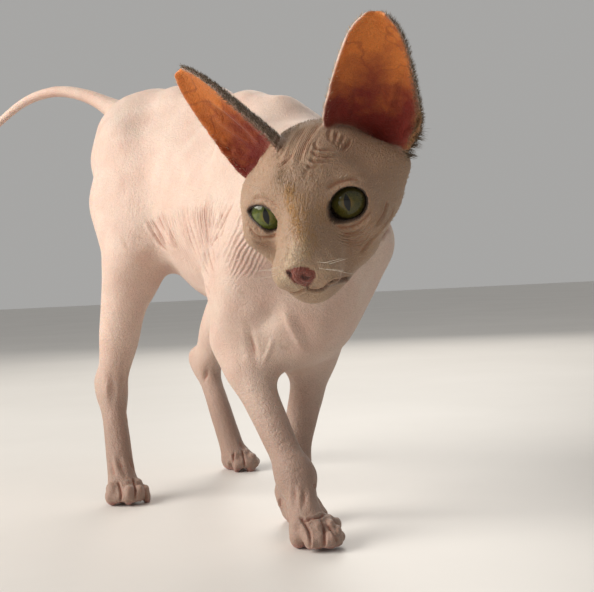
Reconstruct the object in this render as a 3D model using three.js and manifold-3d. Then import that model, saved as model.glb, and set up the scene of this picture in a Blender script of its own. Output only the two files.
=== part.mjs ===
// A sphynx cat, walking, at life size. Millimetres, +Z up. The cat walks towards -Y, its left
// side is +X, and its paws stand on z = 0. Its head is low and turned to its right.
//
// The flesh is one smooth field of distances, made of bones and muscles that run into each other.
// Each part of the body is a mesh of that field, parted from its neighbour by a thin flat cut.
import * as THREE from "three";
import { mergeVertices } from "three/addons/utils/BufferGeometryUtils.js";
import Module from "manifold-3d";

const wasm = await Module();
wasm.setup();

// Driving sizes
const GAP = 0.3; // between parts that touch
const HIP_HALF_WIDTH = 26;
const HIP_HEIGHT = 222;
const SHOULDER_HEIGHT = 157;
const CHEST_CENTRE_X = 7; // the body bends a little: the chest lies to the left of the hips
const HIP_CENTRE_X = -8;
const EYE_RADIUS = 10.4;
const EYE_CENTRE = [18.6, -16.6, 2.4]; // the left one, in the head's own frame
const EYE_TURN = 11; // degrees that each eye looks outwards
const EYE_RISE = 7; // and upwards
const LID_OPENING = { halfWidth: 9.3, height: 7.1, slant: 24 };
const EAR_LENGTH = 63;
const EAR_HALF_WIDTH = 21.6;
const EAR_DEPTH = 13;
const EAR_THICKNESS = 2.2;
const TAIL_RADIUS = 10.2;
const TAIL_TIP_RADIUS = 1.8;
const MOUTH_DEPTH = 1; // of the line between the lips
const PHILTRUM_DEPTH = 0.7;
const SOLE = 0; // the flat under each paw

// Mesh steps, and how far the surface may move when small triangles are joined into larger ones
const TRUNK_STEP = 7;
const NECK_STEP = 5.5;
const LIMB_STEP = 5;
const PAW_STEP = 2.8;
const HEAD_STEP = 2.9;
const COARSE = 0.36;
const HEAD_TOLERANCE = 0.15;
const FINE = 0.2;

// Small vector sums on [x, y, z]
const add = (a, b) => a.map((v, i) => v + b[i]);
const sub = (a, b) => a.map((v, i) => v - b[i]);
const scale = (a, s) => a.map((v) => v * s);
const dot = (a, b) => a[0] * b[0] + a[1] * b[1] + a[2] * b[2];
const length = (a) => Math.sqrt(dot(a, a));
const unit = (a) => scale(a, 1 / length(a));
const mix = (a, b, t) => a.map((v, i) => v + (b[i] - v) * t);
const mirrored = ([x, y, z], side) => [x * side, y, z];
const clamp = (v, low, high) => Math.min(high, Math.max(low, v));
const turned = (p, degrees) =>
  new THREE.Vector3(...p)
    .applyEuler(new THREE.Euler(...degrees.map(THREE.MathUtils.degToRad), "ZYX"))
    .toArray();

// Fields of distance: negative inside the flesh. Each form has a ball round it, so that a point
// far outside the ball can skip the form.
function withBall(form, centre, reach) {
  form.centre = centre;
  form.reach = reach;
  return form;
}
function ballRound(forms) {
  const centre = scale(
    forms.reduce((sum, form) => add(sum, form.centre), [0, 0, 0]),
    1 / forms.length,
  );
  const reach = Math.max(...forms.map((f) => length(sub(f.centre, centre)) + f.reach));
  return [centre, reach];
}
const leastDistance = (form, p) =>
  Math.hypot(p[0] - form.centre[0], p[1] - form.centre[1], p[2] - form.centre[2]) - form.reach;

// A limb from a to b, with its radius at each end.
function bone(a, b, ra, rb) {
  const d = sub(b, a);
  const length2 = dot(d, d);
  const form = (p) => {
    const x = p[0] - a[0];
    const y = p[1] - a[1];
    const z = p[2] - a[2];
    const t = clamp((x * d[0] + y * d[1] + z * d[2]) / length2, 0, 1);
    const off = Math.hypot(x - d[0] * t, y - d[1] * t, z - d[2] * t);
    return off - (ra + (rb - ra) * t);
  };
  return withBall(form, mix(a, b, 0.5), length(d) / 2 + Math.max(ra, rb));
}

// A muscle or pad: an ellipsoid with three radii, turned about X, Y and Z by degrees.
function muscle(centre, radii, degrees = [0, 0, 0]) {
  const e = new THREE.Matrix4().makeRotationFromEuler(
    new THREE.Euler(...degrees.map(THREE.MathUtils.degToRad), "ZYX"),
  ).elements;
  const least = Math.min(...radii);
  const form = (p) => {
    const x = p[0] - centre[0];
    const y = p[1] - centre[1];
    const z = p[2] - centre[2];
    const u = (e[0] * x + e[1] * y + e[2] * z) / radii[0];
    const v = (e[4] * x + e[5] * y + e[6] * z) / radii[1];
    const w = (e[8] * x + e[9] * y + e[10] * z) / radii[2];
    const k0 = Math.hypot(u, v, w);
    const k1 = Math.hypot(u / radii[0], v / radii[1], w / radii[2]);
    return k1 < 1e-9 ? -least : (k0 * (k0 - 1)) / k1;
  };
  return withBall(form, centre, Math.max(...radii));
}

// A muscle that lies along a to b, wide across X and deep across the other way.
function muscleAlong(a, b, wide, deep) {
  const [, y, z] = sub(b, a);
  const tilt = THREE.MathUtils.radToDeg(Math.atan2(-y, z));
  return muscle(mix(a, b, 0.5), [wide, deep, length(sub(b, a)) / 2], [tilt, 0, 0]);
}

// Forms that run into each other over a width k, or with no k, that only touch.
function blend(k, forms) {
  const form = (p) => {
    let d = Infinity;
    for (const f of forms) {
      if (leastDistance(f, p) > d + k) continue;
      const other = f(p);
      const h = k > 0 ? Math.max(k - Math.abs(d - other), 0) / k : 0;
      d = Math.min(d, other) - (h * h * k) / 4;
    }
    return d;
  };
  return withBall(form, ...ballRound(forms));
}

// Skeleton

const hip = (side) => [HIP_CENTRE_X + HIP_HALF_WIDTH * side, 110, HIP_HEIGHT];
const withers = [CHEST_CENTRE_X, -62, 226];
const tailRoot = [-21, 152, 262];
const tailPath = [
  tailRoot,
  [-38, 173, 277],
  [-56, 192, 284],
  [-74, 214, 281],
  [-90, 236, 269],
  [-107, 258, 250],
  [-125, 279, 233],
  [-143, 300, 225],
  [-160, 320, 228],
];

// The right foreleg steps forward and in, the left one is under the chest.
const foreRight = {
  blade: [-12, -64, 212],
  shoulder: [-29, -99, SHOULDER_HEIGHT],
  elbow: [-23, -50, 103],
  wrist: [-13.5, -103, 31.5],
  toes: [-16, -123, 8.2],
  heading: 14,
  side: -1,
};
const foreLeft = {
  blade: [22, -62, 208],
  shoulder: [38, -94, SHOULDER_HEIGHT - 3],
  elbow: [31, -52, 108],
  wrist: [5, -58, 30],
  toes: [4, -69, 8.4],
  heading: -4,
  side: 1,
};
const hindRight = {
  hip: hip(-1),
  knee: [-50, 50, 150],
  heel: [-57, 95, 73],
  ankle: [-57, 83, 64],
  toes: [-61, 52, 8.6],
  heading: 2,
  side: -1,
};
const hindLeft = {
  hip: hip(1),
  knee: [37, 80, 134],
  heel: [37, 170, 80],
  ankle: [38, 157, 72],
  toes: [44, 120, 8.6],
  heading: 22,
  side: 1,
};

// The head's own frame: forward is -Y, left is +X and the eyes look forward.
const HEAD_CENTRE = [-26, -168, 172.5];
const HEAD_TURN = [25, -4, -42]; // nods down, leans to its right, looks to its right
const headMatrix = new THREE.Matrix4()
  .makeRotationFromEuler(
    new THREE.Euler(...HEAD_TURN.map(THREE.MathUtils.degToRad), "ZXY"),
  )
  .setPosition(...HEAD_CENTRE);
const headInverse = headMatrix.clone().invert();
const fromHead = (p) => new THREE.Vector3(...p).applyMatrix4(headMatrix).toArray();
function toHead([x, y, z]) {
  const e = headInverse.elements;
  return [0, 1, 2].map((i) => e[i] * x + e[4 + i] * y + e[8 + i] * z + e[12 + i]);
}

// Where each ear stands in the head's frame. The turn is about the ear's own length, then it tilts
// forwards and leans outwards: the left one is pricked, the right one is turned to the side.
const ears = {
  left: { base: [28, 6.6, 20.3], tilt: 12.7, lean: 15.7, turn: 8.4 },
  right: { base: [-22.6, 1.8, 14.2], tilt: -1.4, lean: -30.3, turn: -36.1 },
};

function onEar({ base, tilt, lean, turn }, point) {
  const stand = new THREE.Euler(...[tilt, lean, turn].map(THREE.MathUtils.degToRad), "YXZ");
  return add(new THREE.Vector3(...point).applyEuler(stand).toArray(), base);
}

// Trunk

function trunkField() {
  const x = CHEST_CENTRE_X;
  const spine = [
    [withers, 13],
    [[x - 1, -20, 234], 12],
    [[x - 4, 30, 246], 11],
    [[HIP_CENTRE_X + 6, 76, 254], 12],
    [[HIP_CENTRE_X, 114, 257], 12],
    [tailRoot, TAIL_RADIUS],
  ];
  const back = spine
    .slice(1)
    .map(([point, r], i) => bone(spine[i][0], point, spine[i][1], r));
  return blend(18, [
    ...back,
    muscle([x, -46, 168], [42, 60, 62], [0, 0, 0]), // rib cage
    muscle([x, -82, 142], [37, 38, 50], [12, 0, 0]), // chest
    muscle([x - 2, -60, 113], [26, 46, 26], [-4, 0, 0]), // breastbone
    muscle([x - 1, 6, 178], [46, 62, 58], [8, 0, 0]), // belly
    muscle([0, 58, 204], [41, 56, 48], [14, 0, 0]), // loin
    muscle([HIP_CENTRE_X, 108, 222], [40, 38, 40], [0, 0, 0]), // rump
  ]);
}

function foreLimbField({ blade, shoulder, elbow, wrist, side }) {
  const point = add(elbow, [0, 10, 4]);
  const calf = mix(elbow, wrist, 0.22);
  return blend(9, [
    muscle(mix(blade, shoulder, 0.5), [11, 25, 42], [-28, side * 12, 0]), // shoulder blade
    bone(shoulder, elbow, 17, 12),
    muscle(add(mix(shoulder, elbow, 0.55), [0, 12, 8]), [14, 24, 26], [-30, 0, 0]),
    bone(elbow, point, 10, 7.5),
    bone(elbow, calf, 11.5, 11.3),
    bone(calf, wrist, 11.3, 8.2),
    muscle(wrist, [9.8, 9, 10]),
  ]);
}

function hindLimbField({ hip: top, knee, ankle, heel, side }) {
  const seat = add(top, [side * -4, 30, 2]);
  const calf = mix(knee, ankle, 0.3);
  const calfEnd = mix(knee, heel, 0.75);
  return blend(12, [
    muscleAlong(add(knee, [0, -4, -14]), add(top, [side * -2, -4, 24]), 20, 32), // thigh
    muscle(add(top, [side * -7, 10, 10]), [22, 35, 33]), // haunch
    bone(seat, add(mix(knee, ankle, 0.2), [side * -6, -6, 0]), 17, 6), // hamstring
    bone(mix(top, knee, 0.45), knee, 24, 15),
    bone(knee, ankle, 14.5, 7.2),
    muscleAlong(add(calfEnd, [0, -3, 0]), add(knee, [0, 12, 4]), 11.5, 13), // calf
    bone(mix(calf, heel, 0.4), heel, 7.5, 5.4), // heel tendon
    bone(heel, ankle, 6.6, 8),
  ]);
}

// A paw: the long foot bones, four toes in a fan, each with a knuckle, and the pads.
function pawField({ toes, heading }, from, width, thumb) {
  const ahead = (x, y, z) => add(toes, turned([x, y, z], [0, 0, heading]));
  const forms = [
    bone(from, ahead(0, 3, 4.5), 7.8, 8.8),
    muscle(ahead(0, 0, -0.5), [width * 0.95, 9, 7.5], [0, 0, heading]),
    muscle(ahead(0, 3, -4), [width * 0.8, 9, 5.5], [0, 0, heading]), // pad
  ];
  const TOES = 4;
  const fan = [];
  for (let i = 0; i < TOES; i += 1) {
    const across = (i - (TOES - 1) / 2) * width * 0.62;
    const reach = Math.abs(i - 1.5) < 1 ? -11 : -6;
    const knuckle = ahead(across * 0.85, reach * 0.55, 3);
    const tip = ahead(across, reach - 5, -3.6);
    const toe = width * 0.36;
    fan.push(blend(1.5, [bone(knuckle, tip, toe, toe), muscle(tip, [toe, toe + 1.4, toe + 0.3])]));
  }
  if (thumb) {
    fan.push(bone(ahead(thumb * width * 0.9, 9, 9), ahead(thumb * width, 3, 3), 3.4, 3));
  }
  return blend(2.4, [blend(6, forms), blend(0, fan)]);
}

const FOREPAW_HALF_WIDTH = 9.6;
const HINDPAW_HALF_WIDTH = 9.2;
const foreRightPaw = pawField(foreRight, foreRight.wrist, FOREPAW_HALF_WIDTH, 1);
const foreLeftPaw = pawField(foreLeft, foreLeft.wrist, FOREPAW_HALF_WIDTH, -1);
const hindRightPaw = pawField(hindRight, hindRight.ankle, HINDPAW_HALF_WIDTH, 0);
const hindLeftPaw = pawField(hindLeft, hindLeft.ankle, HINDPAW_HALF_WIDTH, 0);

// Head, in its own frame

// The firm root of an ear, a short bar across under the cup.
function earRoot(ear) {
  const across = (x, z) => onEar(ear, [x, 0, z]);
  return bone(across(-10, -6), across(11, -11), 9, 8);
}

function headFormsField() {
  const both = (make) => [make(1), make(-1)];
  const [eyeX, eyeY, eyeZ] = EYE_CENTRE;
  return blend(7, [
    muscle([0, 6, 8], [28, 31, 25], [8, 0, 0]), // skull
    muscle([0, -16, 14], [19, 18, 13], [28, 0, 0]), // forehead
    ...both((s) => muscle([s * 22, -10, -8], [11, 17, 10], [0, 0, s * 22])), // cheekbone
    ...both((s) => muscle([s * 16, -5, -17], [11, 19, 11], [10, 0, s * 12])), // jaw muscle
    ...both((s) => bone([s * 14, -8, -22], [s * 9.5, -28, -26.5], 8, 6.5)), // jowl
    ...both((s) => muscle([s * 26.5, 4, -1], [12.5, 19, 16])), // temple
    ...both((s) => muscle([s * eyeX, eyeY, eyeZ], [12.8, 12.8, 12.8])), // around the eye
    bone([0, -20, 11], [0, -45, -9], 9.5, 6.8), // bridge of the nose
    muscle([0, -30, -13], [15, 17, 12], [14, 0, 0]), // upper jaw
    ...both((s) => muscle([s * 7.2, -42.5, -18], [8.6, 9.6, 8], [12, 0, s * 16])), // whisker pad
    bone([0, -49, -11], [0, -51.5, -13], 4.6, 3.6), // nose
    muscle([0, -37, -27.5], [9, 10, 6.5], [10, 0, 0]), // chin
    bone([0, -34, -27], [0, -8, -24], 9, 12), // lower jaw
    ...Object.values(ears).map(earRoot),
  ]);
}
const headForms = headFormsField();
const headField = withBall((p) => headForms(toHead(p)), HEAD_CENTRE, 62);

const nape = fromHead([0, 20, 0]);
const neckField = blend(14, [
  bone([CHEST_CENTRE_X, -70, 192], nape, 34, 25),
  bone([CHEST_CENTRE_X, -88, 164], fromHead([0, 8, -14]), 34, 20),
]);

const limbs = blend(0, [
  foreLimbField(foreRight),
  foreLimbField(foreLeft),
  hindLimbField(hindRight),
  hindLimbField(hindLeft),
]);
const trunk = blend(16, [blend(14, [trunkField(), neckField]), limbs]);
const paws = blend(0, [foreRightPaw, foreLeftPaw, hindRightPaw, hindLeftPaw]);
const body = blend(5, [trunk, paws]);
const flesh = blend(8, [body, headField]);

// Meshes

// The same closed surface with fewer, larger triangles. Edges are closed up, flattest first, while
// the planes that once met at a corner stay within the tolerance of it.
function thinned(points, faces, tolerance) {
  const quadrics = points.map(() => new Float64Array(11));
  const facesOf = points.map(() => new Set());
  const normalOf = ([a, b, c]) => {
    const [ax, ay, az] = points[a];
    const [bx, by, bz] = points[b];
    const [cx, cy, cz] = points[c];
    const [ux, uy, uz, vx, vy, vz] = [bx - ax, by - ay, bz - az, cx - ax, cy - ay, cz - az];
    return [uy * vz - uz * vy, uz * vx - ux * vz, ux * vy - uy * vx];
  };
  faces.forEach((face, f) => {
    const n = normalOf(face);
    const area = length(n) || 1e-12;
    const [x, y, z] = scale(n, 1 / area);
    const w = -dot([x, y, z], points[face[0]]);
    const plane = [x * x, x * y, x * z, x * w, y * y, y * z, y * w, z * z, z * w, w * w, 1];
    for (const v of face) {
      facesOf[v].add(f);
      plane.forEach((term, i) => (quadrics[v][i] += term * area));
    }
  });
  const errorAt = (q, [x, y, z]) =>
    (q[0] * x * x + q[4] * y * y + q[7] * z * z + q[9] +
      2 * (q[1] * x * y + q[2] * x * z + q[5] * y * z + q[3] * x + q[6] * y + q[8] * z)) / q[10];
  const around = (v) => {
    const ring = new Set();
    for (const f of facesOf[v]) for (const m of faces[f]) ring.add(m);
    ring.delete(v);
    return ring;
  };
  function tryEdge(a, b, limit) {
    const q = quadrics[a].map((term, i) => term + quadrics[b][i]);
    const choices = [points[a], points[b], mix(points[a], points[b], 0.5)];
    const errors = choices.map((point) => errorAt(q, point));
    const least = Math.min(...errors);
    if (least > limit) return;
    const ringB = around(b);
    if ([...around(a)].filter((v) => ringB.has(v)).length !== 2) return;
    const target = choices[errors.indexOf(least)];
    const kept = [points[a], points[b]];
    const moved = [...facesOf[a], ...facesOf[b]].filter(
      (f) => !(faces[f].includes(a) && faces[f].includes(b)),
    );
    const before = moved.map((f) => normalOf(faces[f]));
    [points[a], points[b]] = [target, target];
    const turnsOver = moved.some((f, i) => {
      const after = normalOf(faces[f]);
      return dot(after, before[i]) < 0.35 * length(after) * length(before[i]) || length(after) < 0.1;
    });
    [points[a], points[b]] = kept;
    if (turnsOver) return;
    points[a] = target;
    quadrics[a] = q;
    for (const f of [...facesOf[b]]) {
      if (faces[f].includes(a)) {
        for (const v of faces[f]) facesOf[v].delete(f);
        faces[f] = null;
      } else {
        faces[f] = faces[f].map((v) => (v === b ? a : v));
        facesOf[a].add(f);
      }
    }
    facesOf[b].clear();
  }
  for (const part of [0.02, 0.08, 0.2, 0.45, 0.7, 1]) {
    for (let f = 0; f < faces.length; f += 1) {
      for (const m of [0, 1, 2]) {
        if (!faces[f]) break;
        tryEdge(faces[f][m], faces[f][(m + 1) % 3], (tolerance * part) ** 2);
      }
    }
  }
  const used = new Map();
  const kept = faces.filter(Boolean);
  for (const v of kept.flat()) if (!used.has(v)) used.set(v, used.size);
  return [[...used.keys()].map((v) => points[v]), kept.map((face) => face.map((v) => used.get(v)))];
}

const toManifold = (geometry) => {
  geometry.deleteAttribute("normal");
  geometry.deleteAttribute("uv");
  const merged = mergeVertices(geometry, 1e-3);
  return new wasm.Manifold(
    new wasm.Mesh({
      numProp: 3,
      vertProperties: merged.attributes.position.array,
      triVerts: new Uint32Array(merged.index.array),
    }),
  );
};

function toGeometry(solid) {
  const { vertProperties, numProp, numVert, triVerts } = solid.getMesh();
  const position = new Float32Array(numVert * 3);
  for (let i = 0; i < numVert; i += 1) {
    position.set(vertProperties.subarray(i * numProp, i * numProp + 3), i * 3);
  }
  const geometry = new THREE.BufferGeometry()
    .setAttribute("position", new THREE.BufferAttribute(position, 3))
    .setIndex(new THREE.BufferAttribute(triVerts, 1));
  geometry.computeVertexNormals();
  return geometry;
}

// The surface where a field is zero, in a box. It is a net with one point in a grid cell for each
// sheet of the surface that passes through the cell, so that thin gaps stay clean.
function netOf(field, low, high, step, tolerance) {
  const n = low.map((v, i) => Math.ceil((high[i] - v) / step) + 1);
  const at = (c) => (c[2] * n[1] + c[1]) * n[0] + c[0];
  const place = (c) => c.map((v, i) => low[i] + v * step);
  const value = new Float64Array(n[0] * n[1] * n[2]);
  for (let k = 0; k < n[2]; k += 1) {
    for (let j = 0; j < n[1]; j += 1) {
      for (let i = 0; i < n[0]; i += 1) {
        const rim = [i, j, k].some((v, axis) => v === 0 || v === n[axis] - 1);
        const d = field(place([i, j, k]));
        value[at([i, j, k])] = rim ? Math.max(d, step * 0.3) : d;
      }
    }
  }
  const inside = (c) => value[at(c)] < 0;
  const stepAlong = (c, axis, by = 1) => c.map((v, m) => (m === axis ? v + by : v));

  // The crossed edges of a cell, each as [corner, axis], gathered into sheets.
  function sheetsOf(cell) {
    const edges = new Map();
    const key = (corner, axis) => at(corner) * 3 + axis;
    for (const axis of [0, 1, 2]) {
      const [u, v] = [(axis + 1) % 3, (axis + 2) % 3];
      for (const du of [0, 1]) {
        for (const dv of [0, 1]) {
          const corner = stepAlong(stepAlong(cell, u, du), v, dv);
          if (inside(corner) === inside(stepAlong(corner, axis))) continue;
          edges.set(key(corner, axis), { corner, axis, sheet: edges.size });
        }
      }
    }
    const join = (a, b) => {
      const [from, to] = [a.sheet, b.sheet];
      for (const edge of edges.values()) if (edge.sheet === from) edge.sheet = to;
    };
    // On each side of the cell the surface runs from edge to edge round the corners inside it.
    for (const axis of [0, 1, 2]) {
      const [u, v] = [(axis + 1) % 3, (axis + 2) % 3];
      for (const side of [0, 1]) {
        const corner = stepAlong(cell, axis, side);
        const beyondU = stepAlong(corner, u);
        const beyondV = stepAlong(corner, v);
        const ring = [
          [corner, u, corner],
          [beyondU, v, beyondU],
          [beyondV, u, stepAlong(beyondU, v)],
          [corner, v, beyondV],
        ].map(([start, along, next]) => ({ edge: edges.get(key(start, along)), next }));
        const crossed = ring.filter((r) => r.edge);
        if (crossed.length === 2) join(crossed[0].edge, crossed[1].edge);
        if (crossed.length === 4) {
          ring.forEach((r, m) => {
            if (inside(r.next)) join(r.edge, ring[(m + 3) % 4].edge);
          });
        }
      }
    }
    return edges;
  }

  const points = [];
  const cells = new Map();
  function pointAt(cell, corner, axis) {
    const cellKey = at(cell);
    if (!cells.has(cellKey)) {
      const edges = sheetsOf(cell);
      const sums = new Map();
      for (const edge of edges.values()) {
        const end = stepAlong(edge.corner, edge.axis);
        const [va, vb] = [value[at(edge.corner)], value[at(end)]];
        const crossing = mix(place(edge.corner), place(end), va / (va - vb));
        const sum = sums.get(edge.sheet) ?? { total: [0, 0, 0], count: 0 };
        sums.set(edge.sheet, { total: add(sum.total, crossing), count: sum.count + 1 });
      }
      const index = new Map();
      for (const [sheet, { total, count }] of sums) {
        index.set(sheet, points.length);
        points.push(scale(total, 1 / count));
      }
      cells.set(cellKey, { edges, index });
    }
    const { edges, index } = cells.get(cellKey);
    return index.get(edges.get(at(corner) * 3 + axis).sheet);
  }

  const faces = [];
  for (let k = 1; k < n[2] - 1; k += 1) {
    for (let j = 1; j < n[1] - 1; j += 1) {
      for (let i = 1; i < n[0] - 1; i += 1) {
        addCorner([i, j, k]);
      }
    }
  }
  function addCorner(corner) {
    // Each inside corner gives a face across every edge from it that leaves the flesh.
    if (!inside(corner)) return;
    for (const axis of [0, 1, 2]) {
      for (const by of [1, -1]) {
        const other = stepAlong(corner, axis, by);
        if (inside(other)) continue;
        const start = by > 0 ? corner : other;
        const [u, v] = [(axis + 1) % 3, (axis + 2) % 3];
        const quad = [
          [1, 1],
          [0, 1],
          [0, 0],
          [1, 0],
        ].map(([du, dv]) => pointAt(stepAlong(stepAlong(start, u, -du), v, -dv), start, axis));
        if (by < 0) quad.reverse();
        const span = (a, b) => length(sub(points[quad[a]], points[quad[b]]));
        const order = span(0, 2) <= span(1, 3) ? [0, 1, 2, 0, 2, 3] : [0, 1, 3, 1, 2, 3];
        faces.push(order.slice(0, 3).map((m) => quad[m]), order.slice(3).map((m) => quad[m]));
      }
    }
  }
  return closed(...thinned(points, faces, tolerance));
}

// A solid from points and triangles.
function closed(points, faces) {
  const geometry = new THREE.BufferGeometry()
    .setAttribute("position", new THREE.Float32BufferAttribute(points.flat(), 3))
    .setIndex(faces.flat());
  return toManifold(geometry);
}

// A thin cut: a flat plate as thick as the gap, across a limb, facing along its normal.
function plate({ centre, normal, size }) {
  const geometry = new THREE.BoxGeometry(size, size, GAP);
  const facing = new THREE.Quaternion().setFromUnitVectors(
    new THREE.Vector3(0, 0, 1),
    new THREE.Vector3(...unit(normal)),
  );
  geometry.applyQuaternion(facing).translate(...centre);
  return toManifold(geometry);
}

// A closed ball, stretched to three radii and turned.
function ball(centre, radii, degrees = [0, 0, 0]) {
  const geometry = new THREE.SphereGeometry(1, 18, 12);
  geometry.scale(...radii);
  geometry.applyQuaternion(
    new THREE.Quaternion().setFromEuler(
      new THREE.Euler(...degrees.map(THREE.MathUtils.degToRad), "ZYX"),
    ),
  );
  return toManifold(geometry.translate(...centre));
}

// The body of a solid that holds a point.
function bodyAt(solid, point) {
  const probe = ball(point, [3, 3, 3]);
  const share = (body) => body.intersect(probe).volume();
  return solid.decompose().reduce((a, b) => (share(b) > share(a) ? b : a));
}
const cutBy = (solid, ...names) =>
  names.reduce((rest, name) => rest.subtract(plate(cuts[name])), solid);
const aboveFloor = (solid) => solid.trimByPlane([0, 0, 1], SOLE);

// Cuts between the parts, from the body outwards
const legs = { fore_right: foreRight, fore_left: foreLeft, hind_right: hindRight, hind_left: hindLeft };
const cuts = {
  neck_root: { centre: [3, -103, 190], normal: [-0.1, -0.83, 0.55], size: 150 },
  tail_root: { centre: tailRoot, normal: sub(tailPath[1], tailRoot), size: 46 },
};
for (const name of ["fore_right", "fore_left"]) {
  const { elbow, wrist, side } = legs[name];
  cuts[`${name}_root`] = {
    centre: add(elbow, [side * -1, -16, 24]),
    normal: [side * 0.88, -0.2, -0.43],
    size: 130,
  };
  cuts[`${name}_paw`] = { centre: mix(wrist, elbow, 0.1), normal: sub(wrist, elbow), size: 40 };
}
for (const name of ["hind_right", "hind_left"]) {
  const { knee, ankle, toes } = legs[name];
  cuts[`${name}_knee`] = {
    centre: mix(knee, ankle, 0.14),
    normal: add(unit(sub(ankle, knee)), [0, 0, -1]),
    size: 130,
  };
  cuts[`${name}_foot`] = { centre: mix(ankle, toes, 0.12), normal: sub(toes, ankle), size: 50 };
}

// The thigh is parted from the trunk by a rounded cut, a ball set round the outside of the hip.
function thighBall({ hip: top, knee, side }, growth) {
  const [, y, z] = sub(top, knee);
  const centre = add(mix(top, knee, 0.5), [side * 17, 6, -4]);
  const tilt = THREE.MathUtils.radToDeg(Math.atan2(-y, z));
  return ball(centre, [36, 60, 96].map((r) => r + growth), [tilt, 0, 0]);
}

const boxRound = (margin, ...points) => [
  [0, 1, 2].map((i) => Math.min(...points.map((p) => p[i])) - margin),
  [0, 1, 2].map((i) => Math.max(...points.map((p) => p[i])) + margin),
];

const group = new THREE.Group();
const SKIN = { color: 0xd9a899, roughness: 0.62, metalness: 0 };
const EYE = { color: 0x7f9a3c, roughness: 0.08, metalness: 0 };

function addPart(name, solid, look, parent = group) {
  const mesh = new THREE.Mesh(toGeometry(solid), new THREE.MeshStandardMaterial(look));
  mesh.name = name;
  parent.add(mesh);
}

const torsoNet = netOf(body, [-80, -150, 70], [75, 185, 285], TRUNK_STEP, COARSE);
const rootCuts = ["neck_root", "fore_right_root", "fore_left_root"];
const torso = cutBy(torsoNet, ...rootCuts, "tail_root")
  .subtract(thighBall(hindRight, GAP))
  .subtract(thighBall(hindLeft, GAP));
addPart("torso", bodyAt(torso, [0, 20, 190]), SKIN);

for (const name of ["fore_right", "fore_left"]) {
  const { shoulder, elbow, wrist, toes } = legs[name];
  const side = name.slice(5);
  const arm = netOf(body, ...boxRound(24, shoulder, elbow, wrist), LIMB_STEP, COARSE);
  const paw = netOf(body, ...boxRound(22, wrist, toes), PAW_STEP, FINE);
  const end = `${name}_paw`;
  addPart(`foreleg_${side}`, bodyAt(cutBy(arm, ...rootCuts, end), mix(elbow, wrist, 0.3)), SKIN);
  addPart(`forepaw_${side}`, aboveFloor(bodyAt(cutBy(paw, end), toes)), SKIN);
}

for (const name of ["hind_right", "hind_left"]) {
  const { hip: top, knee, ankle, heel, toes } = legs[name];
  const side = name.slice(5);
  const [middle, end] = [`${name}_knee`, `${name}_foot`];
  const thigh = netOf(body, ...boxRound(50, mix(top, knee, 0.1), knee), LIMB_STEP, COARSE);
  const shank = netOf(body, ...boxRound(26, knee, heel, ankle), LIMB_STEP, COARSE);
  const foot = netOf(body, ...boxRound(24, ankle, toes), PAW_STEP, FINE);
  const thighOnly = cutBy(thigh.intersect(thighBall(legs[name], 0)), middle);
  addPart(`thigh_${side}`, bodyAt(thighOnly, mix(top, knee, 0.6)), SKIN);
  addPart(`shank_${side}`, bodyAt(cutBy(shank, middle, end), mix(knee, ankle, 0.5)), SKIN);
  addPart(`hindpaw_${side}`, aboveFloor(bodyAt(cutBy(foot, end), mix(toes, ankle, 0.3))), SKIN);
}

const neckBase = cuts.neck_root.centre;
const neckNet = netOf(flesh, ...boxRound(52, neckBase, nape), NECK_STEP, COARSE);
const headCut = { centre: [0, 26, -5], normal: [0, 0.93, -0.37], size: 110 };
cuts.head = {
  centre: fromHead(headCut.centre),
  normal: sub(fromHead(headCut.normal), HEAD_CENTRE),
  size: headCut.size,
};
addPart("neck", bodyAt(cutBy(neckNet, ...rootCuts, "head"), mix(neckBase, nape, 0.5)), SKIN);

// A closed tube along a curve, from one share of its length to another.
function tube(curve, from, to, rings, sides, radiusAt) {
  const points = [];
  const faces = [];
  for (let i = 0; i < rings; i += 1) {
    const t = from + ((to - from) * i) / (rings - 1);
    const centre = curve.getPointAt(t);
    const forwards = curve.getTangentAt(t);
    const across = new THREE.Vector3(0, 0, 1).cross(forwards).normalize();
    const up = forwards.clone().cross(across);
    for (let j = 0; j < sides; j += 1) {
      const angle = (2 * Math.PI * j) / sides;
      const point = centre
        .clone()
        .addScaledVector(across, Math.cos(angle) * radiusAt(t))
        .addScaledVector(up, Math.sin(angle) * radiusAt(t));
      points.push(point.toArray());
      if (i === 0) continue;
      const [a, b] = [i * sides + j, i * sides + ((j + 1) % sides)];
      faces.push([a - sides, b - sides, b], [a - sides, b, a]);
    }
  }
  const last = (rings - 1) * sides;
  for (let j = 1; j < sides - 1; j += 1) faces.push([0, j + 1, j], [last, last + j, last + j + 1]);
  return closed(points, faces);
}

// The tail, whole beyond the root: three lengths of one tapered whip.
const tailCurve = new THREE.CatmullRomCurve3(tailPath.map((p) => new THREE.Vector3(...p)));
const tailLength = tailCurve.getLength();
// It narrows fast behind the rump, then evenly, and is rounded off at the tip.
function tailRadius(t) {
  const fleshy = 0.6 * Math.exp(-t * 16);
  const whip = 0.4 * (1 - t);
  const roundTip = Math.min(1, (1 - t) * 40 + 0.4);
  return (TAIL_TIP_RADIUS + (TAIL_RADIUS - TAIL_TIP_RADIUS) * (fleshy + whip)) * roundTip;
}
["tail_base", "tail_middle", "tail_tip"].forEach((name, i) => {
  const from = i / 3 + GAP / 2 / tailLength;
  const to = i === 2 ? 1 : (i + 1) / 3 - GAP / 2 / tailLength;
  addPart(name, tube(tailCurve, from, to, 10, 10, tailRadius), SKIN);
});

// The head is modelled in its own frame, level and facing -Y.
const headGroup = new THREE.Group();
headGroup.applyMatrix4(headMatrix);
group.add(headGroup);

const inHead = (p) => flesh(fromHead(p));
const HEAD_BOX = [
  [-44, -62, -48],
  [44, 50, 46],
];
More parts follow.
